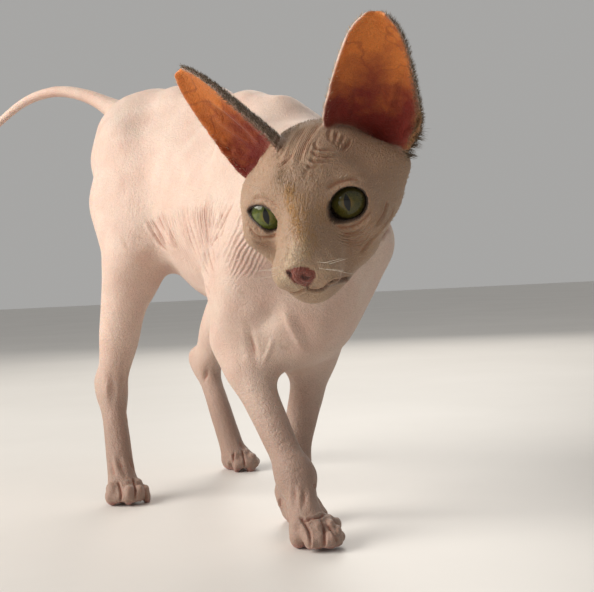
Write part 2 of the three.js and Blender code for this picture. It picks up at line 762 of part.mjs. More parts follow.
// Where a ray from inside the head comes out of the skin.
function skinPoint(from, direction) {
  let [inner, outer] = [0, 60];
  for (let i = 0; i < 30; i += 1) {
    const middle = (inner + outer) / 2;
    if (inHead(add(from, scale(direction, middle))) < 0) inner = middle;
    else outer = middle;
  }
  return add(from, scale(direction, inner));
}
const grooveAlong = (points, radius) =>
  tube(
    new THREE.CatmullRomCurve3(points.map((p) => new THREE.Vector3(...p))),
    0,
    1,
    points.length * 2,
    6,
    () => radius,
  );

// The line of the mouth runs from corner to corner, under the whisker pads.
const MOUTH_MIDDLE = [0, -30, -22];
const MOUTH_SPAN = 1.6; // how far round the jaw each corner lies, in radians
const PAD_DROP = 3.6; // the lip hangs this far under each whisker pad
const CORNER_RISE = 0.6;
const mouthLine = [];
for (let share = -1; share <= 1.01; share += 1 / 6) {
  const out = Math.abs(share);
  const underPad = Math.sin(Math.min(1, out * 2) * Math.PI * 0.5);
  const toCorner = Math.max(0, out * 2 - 1);
  const start = add(MOUTH_MIDDLE, [0, 0, CORNER_RISE * toCorner - PAD_DROP * underPad]);
  const angle = share * MOUTH_SPAN;
  mouthLine.push(skinPoint(start, [Math.sin(angle), -Math.cos(angle), 0]));
}
const philtrum = [-15.5, -18, -22].map((z) => skinPoint([0, -30, z], [0, -1, 0]));

let headSolid = netOf(inHead, ...HEAD_BOX, HEAD_STEP, HEAD_TOLERANCE)
  .subtract(plate(headCut))
  .subtract(grooveAlong(mouthLine, MOUTH_DEPTH))
  .subtract(grooveAlong(philtrum, PHILTRUM_DEPTH));

// The almond between the lids, cut forwards from the middle of the eye.
function lidOpening(side) {
  const { halfWidth, height, slant } = LID_OPENING;
  const almond = new THREE.Shape();
  almond.moveTo(-halfWidth, 0);
  almond.quadraticCurveTo(0, height * 2, halfWidth, 0);
  almond.quadraticCurveTo(0, -height * 2, -halfWidth, 0);
  const geometry = new THREE.ExtrudeGeometry(almond, {
    depth: 2 * EYE_RADIUS,
    bevelEnabled: false,
    curveSegments: 8,
  });
  geometry.rotateZ(THREE.MathUtils.degToRad(slant * side));
  geometry.rotateX(THREE.MathUtils.degToRad(90 - EYE_RISE));
  geometry.rotateZ(THREE.MathUtils.degToRad(EYE_TURN * side));
  return toManifold(geometry.translate(...mirrored(EYE_CENTRE, side)));
}
const eyeball = (side, radius) => ball(mirrored(EYE_CENTRE, side), [radius, radius, radius]);
for (const side of [1, -1]) {
  const nostril = ball([side * 2.8, -54.3, -14], [1.5, 2.4, 1.1], [0, side * 25, 0]);
  headSolid = headSolid
    .subtract(eyeball(side, EYE_RADIUS + GAP))
    .subtract(lidOpening(side))
    .subtract(nostril);
}
addPart("head", bodyAt(headSolid, [0, 0, 0]), SKIN, headGroup);
addPart("eye_left", eyeball(1, EYE_RADIUS), EYE, headGroup);
addPart("eye_right", eyeball(-1, EYE_RADIUS), EYE, headGroup);

// An ear is a cupped shell: a half ring at each height, egg-shaped in outline, open to the front.
const EAR_TIP_HALF_WIDTH = 4;
const EAR_TIP_DEPTH = 3.4;
function earHalfWidth(t) {
  const s = clamp((t - 0.2) / 0.8, 0, 1);
  const taper = (1 - 0.44 * s - 0.12 * s * s) * Math.sqrt(1 - s ** 8);
  const narrowing = 1 - 0.6 * clamp((0.15 - t) / 0.4, 0, 1) ** 1.5;
  return Math.max(EAR_TIP_HALF_WIDTH, EAR_HALF_WIDTH * taper) * narrowing;
}
const earDepth = (t) => EAR_TIP_DEPTH + (EAR_DEPTH - EAR_TIP_DEPTH) * clamp(1 - t, 0, 1) ** 0.8;
function earShell(ear) {
  const ROWS = 12;
  const COLUMNS = 9;
  const SUNK = -0.25;
  const points = [];
  const faces = [];
  for (const inset of [0, 1]) {
    for (let i = 0; i <= ROWS; i += 1) {
      const t = SUNK + (1 - SUNK) * (1 - (1 - i / ROWS) ** 1.4);
      const wall = inset * EAR_THICKNESS * (1 - 0.4 * clamp(t, 0, 1));
      for (let j = 0; j <= COLUMNS; j += 1) {
        const angle = ((j / COLUMNS) * 2 - 1) * 0.5 * Math.PI;
        points.push([
          (earHalfWidth(t) - wall) * Math.sin(angle),
          (earDepth(t) - wall) * Math.cos(angle),
          (EAR_LENGTH - wall * 0.5) * t,
        ]);
      }
    }
  }
  const at = (inset, i, j) => (inset * (ROWS + 1) + i) * (COLUMNS + 1) + j;
  const quad = (a, b, c, d) => faces.push([a, b, c], [a, c, d]);
  for (let i = 0; i < ROWS; i += 1) {
    for (let j = 0; j < COLUMNS; j += 1) {
      quad(at(0, i, j), at(0, i + 1, j), at(0, i + 1, j + 1), at(0, i, j + 1));
      quad(at(1, i, j), at(1, i, j + 1), at(1, i + 1, j + 1), at(1, i + 1, j));
    }
    quad(at(0, i, 0), at(1, i, 0), at(1, i + 1, 0), at(0, i + 1, 0));
    quad(at(0, i, COLUMNS), at(0, i + 1, COLUMNS), at(1, i + 1, COLUMNS), at(1, i, COLUMNS));
  }
  for (let j = 0; j < COLUMNS; j += 1) {
    quad(at(0, 0, j), at(0, 0, j + 1), at(1, 0, j + 1), at(1, 0, j));
    quad(at(0, ROWS, j), at(1, ROWS, j), at(1, ROWS, j + 1), at(0, ROWS, j + 1));
  }
  const placed = points.map((p) => onEar(ear, p));
  return { solid: closed(placed, faces), middle: placed[at(0, 8, 4)] };
}
const EAR_GAP = 0.42; // a little more than the gap, since the head's mesh is coarser here
const grownHead = netOf((p) => inHead(p) - EAR_GAP, ...HEAD_BOX, HEAD_STEP, FINE / 2);
for (const [side, ear] of Object.entries(ears)) {
  const { solid, middle } = earShell(ear);
  addPart(`ear_${side}`, bodyAt(solid.subtract(grownHead), middle), SKIN, headGroup);
}

// The origin is on the floor, under the middle of the cat.
const bounds = new THREE.Box3().setFromObject(group, true);
const middle = bounds.getCenter(new THREE.Vector3());
group.position.set(-middle.x, -middle.y, -bounds.min.z);

export default group;
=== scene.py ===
import math

import bmesh
import bpy
import numpy as np
from mathutils import Matrix, Vector
from mathutils.bvhtree import BVHTree
from mathutils.kdtree import KDTree


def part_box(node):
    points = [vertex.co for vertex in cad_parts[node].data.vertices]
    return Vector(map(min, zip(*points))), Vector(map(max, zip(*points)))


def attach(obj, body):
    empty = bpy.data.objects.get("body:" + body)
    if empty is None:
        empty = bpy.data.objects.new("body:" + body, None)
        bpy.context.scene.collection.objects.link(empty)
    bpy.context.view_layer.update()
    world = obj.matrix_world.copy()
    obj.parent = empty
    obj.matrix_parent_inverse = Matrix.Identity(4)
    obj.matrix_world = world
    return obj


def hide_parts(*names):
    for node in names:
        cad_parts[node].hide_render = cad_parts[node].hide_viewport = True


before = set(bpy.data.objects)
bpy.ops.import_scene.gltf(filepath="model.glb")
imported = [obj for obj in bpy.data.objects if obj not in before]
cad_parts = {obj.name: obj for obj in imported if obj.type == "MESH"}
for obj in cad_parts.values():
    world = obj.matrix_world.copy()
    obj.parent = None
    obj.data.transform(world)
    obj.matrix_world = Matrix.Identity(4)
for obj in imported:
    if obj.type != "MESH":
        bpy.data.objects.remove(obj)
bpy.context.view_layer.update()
MM = 0.001
rng = np.random.default_rng(7)

# The view. The camera stands low in front of the cat, a little to the cat's right, and looks
# almost level, as the photograph was taken. Its place is counted from the cat's left eye.
PHOTO_WIDTH = 594
PHOTO_CENTRE = np.array([297.0, 296.0])
FOCAL_LENGTH = 1100.0  # in pixels of the photograph
CAMERA_FROM_LEFT_EYE = np.array([-234.05, -430.36, -36.83]) * MM
CAMERA_TURN = -25.6
CAMERA_DIP = 0.57
CAMERA_ROLL = 2.5
SENSOR_WIDTH = 36.0


def middle_of(node):
    low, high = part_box(node)
    return (np.array(low) + np.array(high)) / 2


def turn_about(axis, degrees):
    return np.array(Matrix.Rotation(math.radians(degrees), 3, axis))


level_view = turn_about("Z", CAMERA_TURN) @ turn_about("X", 90 - CAMERA_DIP)
camera_axes = level_view @ turn_about("Z", -CAMERA_ROLL)
camera_place = middle_of("eye_left") + CAMERA_FROM_LEFT_EYE
camera = bpy.data.objects.new("camera", bpy.data.cameras.new("camera"))
camera.data.sensor_width = SENSOR_WIDTH
camera.data.lens = FOCAL_LENGTH / PHOTO_WIDTH * SENSOR_WIDTH
camera.data.clip_start = 0.01
camera.matrix_world = Matrix.Translation(camera_place) @ Matrix(camera_axes).to_4x4()
bpy.context.collection.objects.link(camera)
bpy.context.scene.camera = camera


def ray_through(pixel):
    """The direction from the camera through a pixel of the photograph."""
    right, down = (np.array(pixel, float) - PHOTO_CENTRE) / FOCAL_LENGTH
    return Vector(camera_axes @ np.array([right, -down, -1.0])).normalized()


# The ears. Each is a tall cup of thin cartilage and skin, open to the front, with two low ridges
# inside and a rolled edge. They are shaped as sheets here and fused with the rest of the skin.
HEAD_TURN = -42
HEAD_NOD = 25
HEAD_TIP = -4
EYES_FROM_HEAD_CENTRE = np.array([0, -16.6, 2.4]) * MM
EAR_LENGTH = 63 * MM
EAR_HALF_WIDTH = 21.6 * MM
EAR_DEPTH = 13 * MM
EAR_THICKNESS = 2.0 * MM
EAR_TIP_HALF_WIDTH = 4 * MM
EAR_TIP_DEPTH = 3.4 * MM
EAR_SUNK = 0.25  # of its length, below the root
EARS = {
    "left": {"base": (28, 6.6, 20.3), "tilt": 12.7, "lean": 15.7, "turn": 8.4},
    "right": {"base": (-22.6, 1.8, 14.2), "tilt": -1.4, "lean": -30.3, "turn": -36.1},
}
head_axes = turn_about("Z", HEAD_TURN) @ turn_about("X", HEAD_NOD) @ turn_about("Y", HEAD_TIP)
eyes_middle = (middle_of("eye_left") + middle_of("eye_right")) / 2
head_centre = eyes_middle - head_axes @ EYES_FROM_HEAD_CENTRE


def ear_axes(ear):
    leaning = turn_about("Y", ear["lean"]) @ turn_about("X", ear["tilt"])
    return head_axes @ leaning @ turn_about("Z", ear["turn"])


def ear_base(ear):
    return head_centre + head_axes @ (np.array(ear["base"]) * MM)


def ear_half_width(height):
    reach = np.clip((height - 0.2) / 0.8, 0, 1)
    taper = (1 - 0.44 * reach - 0.12 * reach**2) * np.sqrt(1 - reach**8)
    narrowing = 1 - 0.6 * np.clip((0.15 - height) / 0.4, 0, 1) ** 1.5
    return np.maximum(EAR_TIP_HALF_WIDTH, EAR_HALF_WIDTH * taper) * narrowing


def ear_depth(height):
    return EAR_TIP_DEPTH + (EAR_DEPTH - EAR_TIP_DEPTH) * np.clip(1 - height, 0, 1) ** 0.8


def ear_sheet(ear):
    """The middle sheet of an ear: across runs from edge to edge, along from root to tip."""
    sheet = bmesh.new()
    bmesh.ops.create_grid(sheet, x_segments=44, y_segments=60, size=1)
    axes, base, wall = ear_axes(ear), ear_base(ear), EAR_THICKNESS / 2
    for vert in sheet.verts:
        height = -EAR_SUNK + (1 + EAR_SUNK) * (vert.co.y + 1) / 2
        angle = vert.co.x * math.pi / 2
        right = (ear_half_width(height) - wall) * math.sin(angle)
        back = (ear_depth(height) - wall) * math.cos(angle)
        vert.co = base + axes @ np.array([right, back, (EAR_LENGTH - wall) * height])
    bmesh.ops.recalc_face_normals(sheet, faces=sheet.faces)
    bmesh.ops.solidify(sheet, geom=sheet.faces[:], thickness=EAR_THICKNESS)
    return sheet


# The skin. A sphynx has one loose, nearly bare skin from nose to tail, thin over the ears and
# thick at the neck. It is made of all the flesh of the frame, fused, and then smoothed.
PAIRED = ["foreleg", "forepaw", "thigh", "shank", "hindpaw"]
FLESH = ["head", "neck", "torso", "tail_base", "tail_middle", "tail_tip"]
FLESH += [f"{part}_{side}" for part in PAIRED for side in ("left", "right")]
SKIN_GRAIN = 0.85 * MM
SOCKET_FILL = 0.7 * MM
SMOOTHING = 50  # rounds
SLACK = 0.9  # how far a round moves the softest skin towards its neighbours
FIRMNESS = {"head": 0.68, "ear": 0.75, "forepaw": 0.93, "hindpaw": 0.93}
# Toes that the photograph shows: the pixel of each swelling, and its half width, half height and
# half depth in millimetres. A high knuckle and a round tip make one toe.
TOE_PROUD = 0.9
SEEN_TOES = {
    "forepaw_right": [
        ((299, 524), (4.2, 4.6, 5.5)), ((298.5, 536), (4.7, 6.2, 6.5)),
        ((312.5, 522.5), (3.7, 3.4, 5)), ((317.5, 530), (3.2, 5.0, 5)), ((318, 540), (3.2, 4.6, 6)),
        ((327, 519), (3.6, 2.6, 5)), ((330.5, 530), (2.7, 5.6, 5)), ((331.5, 540), (2.6, 4.4, 5)),
        ((336.5, 525), (2.6, 4.0, 5)), ((338, 534), (2.2, 4.6, 5)),
    ],
    "hindpaw_right": [
        ((112.5, 489), (4.2, 4.6, 5)), ((112.5, 496), (4.7, 5.8, 6)),
        ((126.5, 484), (3.8, 3.4, 5)), ((129, 495), (3.9, 6.4, 6)),
        ((138, 484), (3.0, 3.6, 5)), ((140, 493), (2.8, 5.4, 5)),
        ((145.5, 490), (2.4, 3.4, 5)), ((147, 497), (2.3, 4.4, 5)),
    ],
    "hindpaw_left": [
        ((229.5, 461), (2.6, 3.8, 5)), ((237, 455), (3.2, 3.6, 5)), ((237, 466), (3.0, 4.6, 5)),
        ((246, 453), (3.6, 3.4, 5)), ((252, 459), (3.8, 4.6, 5)), ((251, 468), (3.4, 3.8, 5)),
    ],
}


def add_toes(flesh, paw, toes):
    """Lays ovals on a paw where the photograph shows its knuckles and toe tips."""
    shape = bmesh.new()
    shape.from_mesh(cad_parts[paw].data)
    tree = BVHTree.FromBMesh(shape)
    shape.free()
    for pixel, (wide, high, deep) in toes:
        ray = ray_through(pixel)
        place = tree.ray_cast(Vector(camera_place), ray)[0]
        if place is not None:
            place += ray * (deep - TOE_PROUD) * MM
            stretch = Matrix.Diagonal((wide * MM, high * MM, deep * MM, 1))
            oval = Matrix.Translation(place) @ Matrix(camera_axes).to_4x4() @ stretch
            bmesh.ops.create_icosphere(flesh, subdivisions=3, radius=1, matrix=oval)


def joined_flesh():
    flesh = bmesh.new()
    for name in FLESH:
        flesh.from_mesh(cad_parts[name].data)
    bmesh.ops.remove_doubles(flesh, verts=flesh.verts, dist=1e-6)
    for side in ("left", "right"):
        low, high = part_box(f"eye_{side}")
        bmesh.ops.create_icosphere(
            flesh,
            subdivisions=4,
            radius=(high.x - low.x) / 2 + SOCKET_FILL,
            matrix=Matrix.Translation((low + high) / 2),
        )
    for paw, toes in SEEN_TOES.items():
        add_toes(flesh, paw, toes)
    for ear in EARS.values():
        sheet = ear_sheet(ear)
        loose = bpy.data.meshes.new("ear sheet")
        sheet.to_mesh(loose)
        sheet.free()
        flesh.from_mesh(loose)
        bpy.data.meshes.remove(loose)
    return flesh


def link_mesh(name, mesh):
    made = bpy.data.objects.new(name, mesh)
    bpy.context.collection.objects.link(made)
    return made


def from_bmesh(name, shape):
    mesh = bpy.data.meshes.new(name)
    shape.to_mesh(mesh)
    shape.free()
    return link_mesh(name, mesh)


def shade_smooth(made):
    made.data.polygons.foreach_set("use_smooth", [True] * len(made.data.polygons))


def with_modifiers_applied(made):
    depsgraph = bpy.context.evaluated_depsgraph_get()
    mesh = bpy.data.meshes.new_from_object(made.evaluated_get(depsgraph))
    made.modifiers.clear()
    made.data = mesh


def numbers_of(items, name, width, kind=np.float32):
    flat = np.empty(len(items) * width, kind)
    items.foreach_get(name, flat)
    return flat.reshape(-1, width)


def put_points(mesh, places):
    mesh.vertices.foreach_set("co", places.astype(np.float32).ravel())
    mesh.update()


def relaxed(values, edges, weight, rounds=1):
    """Each value moved towards the mean of its neighbours by its weight, in some rounds."""
    count = np.bincount(edges.ravel(), minlength=len(values))[:, None]
    for _ in range(rounds):
        total = np.zeros_like(values)
        for axis in range(values.shape[1]):
            for here, there in ((0, 1), (1, 0)):
                total[:, axis] += np.bincount(
                    edges[:, here], values[edges[:, there], axis], len(values)
                )
        values = values + (total / np.maximum(count, 1) - values) * weight
    return values


def smoothed(places, edges, weight, rounds):
    """Smooths without shrinking: what the first pass takes away is smoothed and given back."""
    soft = relaxed(places, edges, weight, rounds)
    return soft + relaxed(places - soft, edges, weight, rounds)


def keep_largest_shell(shape):
    """Leaves only the outer shell, and drops what the fusing closed up inside it."""
    shape.verts.ensure_lookup_table()
    left = set(range(len(shape.verts)))
    shells = []
    while left:
        queue = [left.pop()]
        shell = list(queue)
        while queue:
            vert = shape.verts[queue.pop()]
            for edge in vert.link_edges:
                other = edge.other_vert(vert).index
                if other in left:
                    left.remove(other)
                    queue.append(other)
                    shell.append(other)
        shells.append(shell)
    shells.sort(key=len)
    loose = [shape.verts[i] for shell in shells[:-1] for i in shell]
    bmesh.ops.delete(shape, geom=loose, context="VERTS")


def tree_of(names):
    """A search tree over some of the frame's nodes, and the node that owns each of its faces."""
    corners, faces, owners = [], [], []
    for name in names:
        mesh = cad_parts[name].data
        first = len(corners)
        corners += [vertex.co.copy() for vertex in mesh.vertices]
        faces += [[first + v for v in face.vertices] for face in mesh.polygons]
        owners += [name] * len(mesh.polygons)
    return BVHTree.FromPolygons(corners, faces), owners


def nearest_nodes(places):
    """The name of the frame's node that lies nearest to each place."""
    tree, owners = tree_of(FLESH + ["ear_left", "ear_right"])
    return np.array([owners[tree.find_nearest(Vector(place))[2]] for place in places])


skin = from_bmesh("skin", joined_flesh())
fuse = skin.modifiers.new("fuse", "REMESH")
fuse.mode = "VOXEL"
fuse.voxel_size = SKIN_GRAIN
with_modifiers_applied(skin)
fused = bmesh.new()
fused.from_mesh(skin.data)
keep_largest_shell(fused)
fused.to_mesh(skin.data)
fused.free()

places = numbers_of(skin.data.vertices, "co", 3).astype(float)
edges = numbers_of(skin.data.edges, "vertices", 2, np.int32)
region = nearest_nodes(places)
softness = np.full((len(places), 1), SLACK)
for part, firmness in FIRMNESS.items():
    softness[np.char.startswith(region, part)] = SLACK * (1 - firmness)
softness = relaxed(softness, edges, SLACK, 12)
places = smoothed(places, edges, softness, SMOOTHING)
places[:, 2] = np.maximum(places[:, 2], 0)
put_points(skin.data, places)
shade_smooth(skin)

# The folds. The loose skin lies in folds over the brow, the neck, the flank and the groin, and
# each is pressed or raised in the skin along a line that the photograph shows, in its pixels.
normals = numbers_of(skin.data.vertices, "normal", 3).astype(float)
skin_tree = BVHTree.FromObject(skin, bpy.context.evaluated_depsgraph_get())
body_tree = tree_of(["torso", "neck"])[0]
LINE_STEP = 1.2  # pixels between the points of a fold's line
LINE_JUMP = 9 * MM  # a longer step means that the line has left the surface
FOLD_REACH = 3.2  # half widths from its line at which a fold has faded out
FOLD_FACING = 0.25  # skin that faces further away than this belongs to another side
LIP_PLACE = 1.9  # half widths from the line at which the skin is pushed up beside a fold
LIP_SHARPNESS = 1.4


def curve_through(marks, samples):
    """A smooth curve through the marks, as a Catmull-Rom spline."""
    marks = np.array(marks, float)
    ends = np.vstack([2 * marks[0] - marks[1], marks, 2 * marks[-1] - marks[-2]])
    travel = np.linspace(0, len(marks) - 1, samples)
    start = np.minimum(travel.astype(int), len(marks) - 2)
    part = (travel - start)[:, None]
    a, b, c, d = (ends[start + i] for i in range(4))
    bend = (2 * a - 5 * b + 4 * c - d) * part**2 + (3 * b - a - 3 * c + d) * part**3
    return 0.5 * (2 * b + (c - a) * part + bend)


def on_skin(pixel, tree=None):
    return (tree or skin_tree).ray_cast(Vector(camera_place), ray_through(pixel))[:2]


def line_on_skin(marks, tree=None):
    """The places and normals where the camera sees a line of pixels on the skin."""
    marks = np.array(marks, float)
    reach = np.linalg.norm(np.diff(marks, axis=0), axis=1).sum()
    seen = [on_skin(mark, tree) for mark in curve_through(marks, max(6, int(reach / LINE_STEP)))]
    kept = []
    for place, normal in seen:
        if place is not None and (not kept or (place - kept[-1][0]).length < LINE_JUMP):
            kept.append((place, normal))
    return np.array([p for p, n in kept]), np.array([n for p, n in kept])


def other_side(line, centre, across):
    """The same line on the other side of a middle plane, laid on the skin again."""
    turned = line - 2 * ((line - centre) @ across)[:, None] * across
    found = [skin_tree.find_nearest(Vector(place))[:2] for place in turned]
    return np.array([p for p, n in found]), np.array([n for p, n in found])


def near_line(line, reach):
    """The skin's corners about a line, and how far each is from each point of it."""
    inside = (places > line.min(0) - reach) & (places < line.max(0) + reach)
    near = np.flatnonzero(inside.all(1))
    return near, np.linalg.norm(places[near, None] - line[None], axis=2)


def raise_along(line, line_normals, width, height, lips=0.3, fade=0.3):
    """Raises the skin along a line, or presses it in with a height below 0."""
    near, gaps = near_line(line, FOLD_REACH * width)
    closest = gaps.argmin(1)
    gap = gaps.min(1) / width
    along = closest / max(1, len(line) - 1)
    strength = np.clip(np.minimum(along, 1 - along) / fade, 0.0, 1)
    strength = strength * strength * (3 - 2 * strength)
    facing = (normals[near] * line_normals[closest]).sum(1) > FOLD_FACING
    shape = np.exp(-(gap**2)) - lips * np.exp(-((gap - LIP_PLACE) ** 2) * LIP_SHARPNESS)
    move = height * strength * shape * facing
    places[near] += normals[near] * move[:, None]


def fold(marks, width, height, lips=0.3, fade=0.3, tree=None):
    """A fold along a line of pixels, with its width and height in millimetres."""
    line, line_normals = line_on_skin(marks, tree)
    if len(line) > 2:
        raise_along(line, line_normals, width * MM, height * MM, lips, fade)


def fan(first, last, count, width, height, wander=0.8, **shape):
    """Folds laid between a first and a last line, each wandering a little."""
    first, last = np.array(first, float), np.array(last, float)
    for part in np.linspace(0, 1, count):
        marks = first + (last - first) * part + rng.normal(0, wander, first.shape)
        fold(marks, width * rng.uniform(0.8, 1.2), height * rng.uniform(0.6, 1.2), **shape)


def swell(pixel, radius, height):
    """Raises a round place, or presses a dent with a height below 0."""
    place, normal = on_skin(pixel)
    gap = np.linalg.norm(places - np.array(place), axis=1) / (radius * MM)
    facing = normals @ np.array(normal) > 0.1
    move = height * MM * np.exp(-(gap**2)) * facing
    places[:] += normals * move[:, None]


def in_turn(work, rows):
    """Folds or swells the skin once for each row of a table."""
    for row in rows:
        work(*row)


# A row in a table of folds gives the pixels of its line, its width and height in millimetres, how
# far the skin beside it stands up as lips, and over what share of its length it fades at each end.

# Brow: upright folds fan out between the ears and turn level at the root of the left ear.
fan(
    [(303, 126), (295, 139), (289, 153), (284, 166)],
    [(324, 122), (317, 131), (308, 147), (303, 171)],
    8, 0.85, -1.25, wander=0.5, fade=0.2,
)
fan(
    [(279, 141), (276, 147), (271, 154)],
    [(295, 150), (286, 161), (276, 169)],
    7, 0.75, -1.0, wander=0.5, fade=0.25,
)
fan(
    [(331, 127), (329, 136), (331, 144)],
    [(352, 139), (346, 146), (341, 151)],
    4, 0.8, -0.8, wander=0.4, fade=0.25,
)
BROW_FOLDS = [
    ([(322, 132), (315, 143), (318, 149), (331, 150), (341, 152)], 0.8, -0.95, 0.3, 0.35),
    ([(314, 148), (315, 154), (327, 157), (339, 157)], 0.8, -0.95, 0.3, 0.35),
    ([(310, 156), (313, 161), (322, 162), (335, 161)], 0.8, -0.95, 0.3, 0.35),
    ([(306, 163), (311, 167), (321, 167)], 0.8, -0.95, 0.3, 0.35),
    ([(311, 166), (306, 172), (304, 180)], 1.0, -0.5, 0.3, 0.45),
    ([(325, 191), (331, 186), (341, 181), (354, 179), (366, 184)], 1.2, -1.2),
    ([(250, 203), (255, 199), (264, 199), (274, 204), (281, 212)], 1.1, -0.8),
]
in_turn(fold, BROW_FOLDS)
in_turn(swell, [((324, 175), 2.6, 0.5), ((316, 186), 3.2, 0.5)])
in_turn(swell, [((352, 171), 6, 0.6), ((262, 190), 5, 0.4)])

# Under the eyes, on the cheeks and round the muzzle.
CHEEK_FOLDS = [
    ([(249, 226), (253, 233), (260, 237.5), (270, 237.5), (278, 233)], 0.9, -1.1, 0.3, 0.2),
    ([(251, 236), (259, 243), (269, 244)], 0.9, -0.6),
    ([(334, 224), (345, 228), (357, 225), (367, 217), (373, 208)], 0.9, -1.0, 0.3, 0.2),
    ([(340, 233), (352, 234), (364, 229)], 1.0, -0.6),
    ([(394, 205), (391, 216), (381, 230), (369, 243), (358, 256)], 0.8, -1.1, 0.3, 0.15),
    ([(394, 222), (384, 236), (377, 247), (366, 261), (357, 272), (352, 280)], 0.8, -1.1, 0.3, 0.15),
    ([(388, 200), (384, 214), (375, 228)], 0.8, -1.1, 0.3, 0.15),
    ([(289, 240), (290, 250), (285, 260), (281, 270)], 1.3, -0.5),
    ([(318, 246), (327, 256), (336, 264), (348, 269)], 1.6, -0.55),
]
in_turn(fold, CHEEK_FOLDS)
in_turn(swell, [((303, 245), 6, 0.5), ((322, 272), 5, 0.6), ((297, 286), 4, 0.4)])
WHISKER_ROOTS = [(317, 262), (323, 263), (329, 264), (319, 268), (326, 269), (333, 270)]
in_turn(swell, [(pixel, 0.8, -0.3) for pixel in WHISKER_ROOTS])

# The mouth is a closed line from under the nose to the corner, the same on both sides.
MOUTH = [(307, 288), (312, 289.5), (319, 290), (325, 286.5), (331, 281.5), (341, 279), (352, 277)]
mouth_line, mouth_normals = line_on_skin(MOUTH)
mirrored_mouth = other_side(mouth_line[: len(mouth_line) // 2], head_centre, head_axes[:, 0])
for half in ((mouth_line, mouth_normals), mirrored_mouth):
    raise_along(*half, 0.8 * MM, -1.5 * MM, lips=0.45, fade=0.06)
fold([(308.5, 283), (308, 286), (307.5, 289)], 0.7, -0.8, fade=0.15)

# The nose leather has a sharp edge, two comma-shaped nostrils and a groove down its middle.
NOSE_FOLDS = [
    ([(288, 272), (294, 268.5), (302, 266.5), (309, 268.5), (314, 272)], 0.9, -0.45, 0.7, 0.15),
    ([(313.5, 272), (314, 277), (310.5, 283), (307, 286)], 0.8, -0.5, 0.5, 0.15),
    ([(287.5, 273), (292, 279), (299, 284), (306, 286)], 0.8, -0.5, 0.5, 0.15),
]
in_turn(fold, NOSE_FOLDS)
swell((289.5, 274), 1.2, -1.8)
fold([(286.5, 272), (289.5, 274), (291, 276.5)], 0.7, -1.2)
swell((303.5, 277), 1.15, -1.7)
fold([(303, 276), (306, 278.5), (309.5, 278), (312, 275.5)], 0.7, -1.2)
fold([(297, 276), (300.5, 281), (305, 285.5)], 0.6, -0.4)

# Neck and chest: long soft pleats, and a deep tuck between the neck and the right shoulder.
NECK_PLEATS = [
    ([(242, 198), (231, 219), (221, 240), (212, 262)], 1.1, -1.5, 0.2),
    ([(246, 203), (236, 221), (226, 240), (218, 258), (211, 273)], 1.5, 1.3, 0.2),
    ([(250, 212), (240, 229), (230, 246), (219, 264), (210, 281)], 1.2, -1.6, 0.2),
    ([(237, 196), (225, 219), (214, 244), (208, 262)], 1.2, -1.1, 0.2),
    ([(230, 200), (218, 224), (209, 248)], 1.3, -0.8, 0.2),
    ([(258, 227), (250, 244), (240, 262)], 1.8, 0.6, 0.2),
    ([(263, 236), (254, 256), (246, 275)], 1.9, 0.6, 0.2),
    ([(261, 230), (251, 252), (243, 270)], 1.3, -0.6, 0.2),
    ([(268, 255), (270, 275), (271, 297), (276, 312)], 1.3, -2.0, 0.5),
]
CHEST_FOLDS = [
    ([(282, 301), (272, 312), (261, 324), (251, 338)], 4.6, -2.2, 0.1, 0.5),
    ([(249, 316), (250, 336), (254, 354), (259, 376)], 2.3, -1.5, 0.15, 0.5),
    ([(282, 303), (288, 320), (299, 342), (309, 357)], 2.2, 1.3, 0.2, 0.4),
    ([(293, 303), (300, 321), (310, 340), (319, 355)], 3.4, -1.3, 0.0, 0.5),
    ([(275, 333), (271, 345), (266, 357), (262, 369)], 1.2, 0.8, 0.2, 0.4),
    ([(277, 344), (287, 350), (299, 357)], 2.6, -1.1, 0.0, 0.5),
    ([(393, 243), (388, 268), (377, 292), (361, 314)], 2.6, -0.9, 0.2, 0.5, body_tree),
    ([(385, 250), (377, 274), (365, 294)], 2.2, -0.9, 0.3, 0.5, body_tree),
]
for marks, width, height, lips in NECK_PLEATS:
    fold(marks, width, height, lips, tree=body_tree)
in_turn(fold, CHEST_FOLDS)
fan(
    [(355, 288), (350, 307), (338, 332)], [(330, 306), (330, 325), (322, 347)],
    3, 3.0, -0.8, lips=0.1, fade=0.5,
)

# Flank and groin: fine folds run from the elbow up the ribs, and others cross the groin.
FLANK_LOW = np.array([(209, 295), (194, 275), (177, 249), (164, 227), (158, 208)], float)
FLANK_HIGH = np.array([(220, 276), (218, 254), (219, 232), (223, 208), (229, 186)], float)
FLANK_FOLDS = 15
for part in np.linspace(0, 1, FLANK_FOLDS):
    marks = FLANK_LOW + (FLANK_HIGH - FLANK_LOW) * part + rng.normal(0, 1.0, FLANK_LOW.shape)
    seen_side = line_on_skin(marks)
    far_side = other_side(seen_side[0], middle_of("torso"), np.array([1.0, 0, 0]))
    depth = -0.6 * rng.uniform(0.5, 1.3) * MM
    for line in (seen_side, far_side):
        raise_along(*line, 1.4 * MM, depth, lips=0.6)
fan(
    [(143, 214), (152, 229), (161, 243), (170, 253)],
    [(160, 208), (166, 224), (173, 240), (180, 252)],
    6, 1.3, -0.8, lips=0.6,
)
fan([(118, 236), (128, 247), (141, 252)], [(123, 222), (136, 236), (150, 243)], 4, 1.4, -0.55)

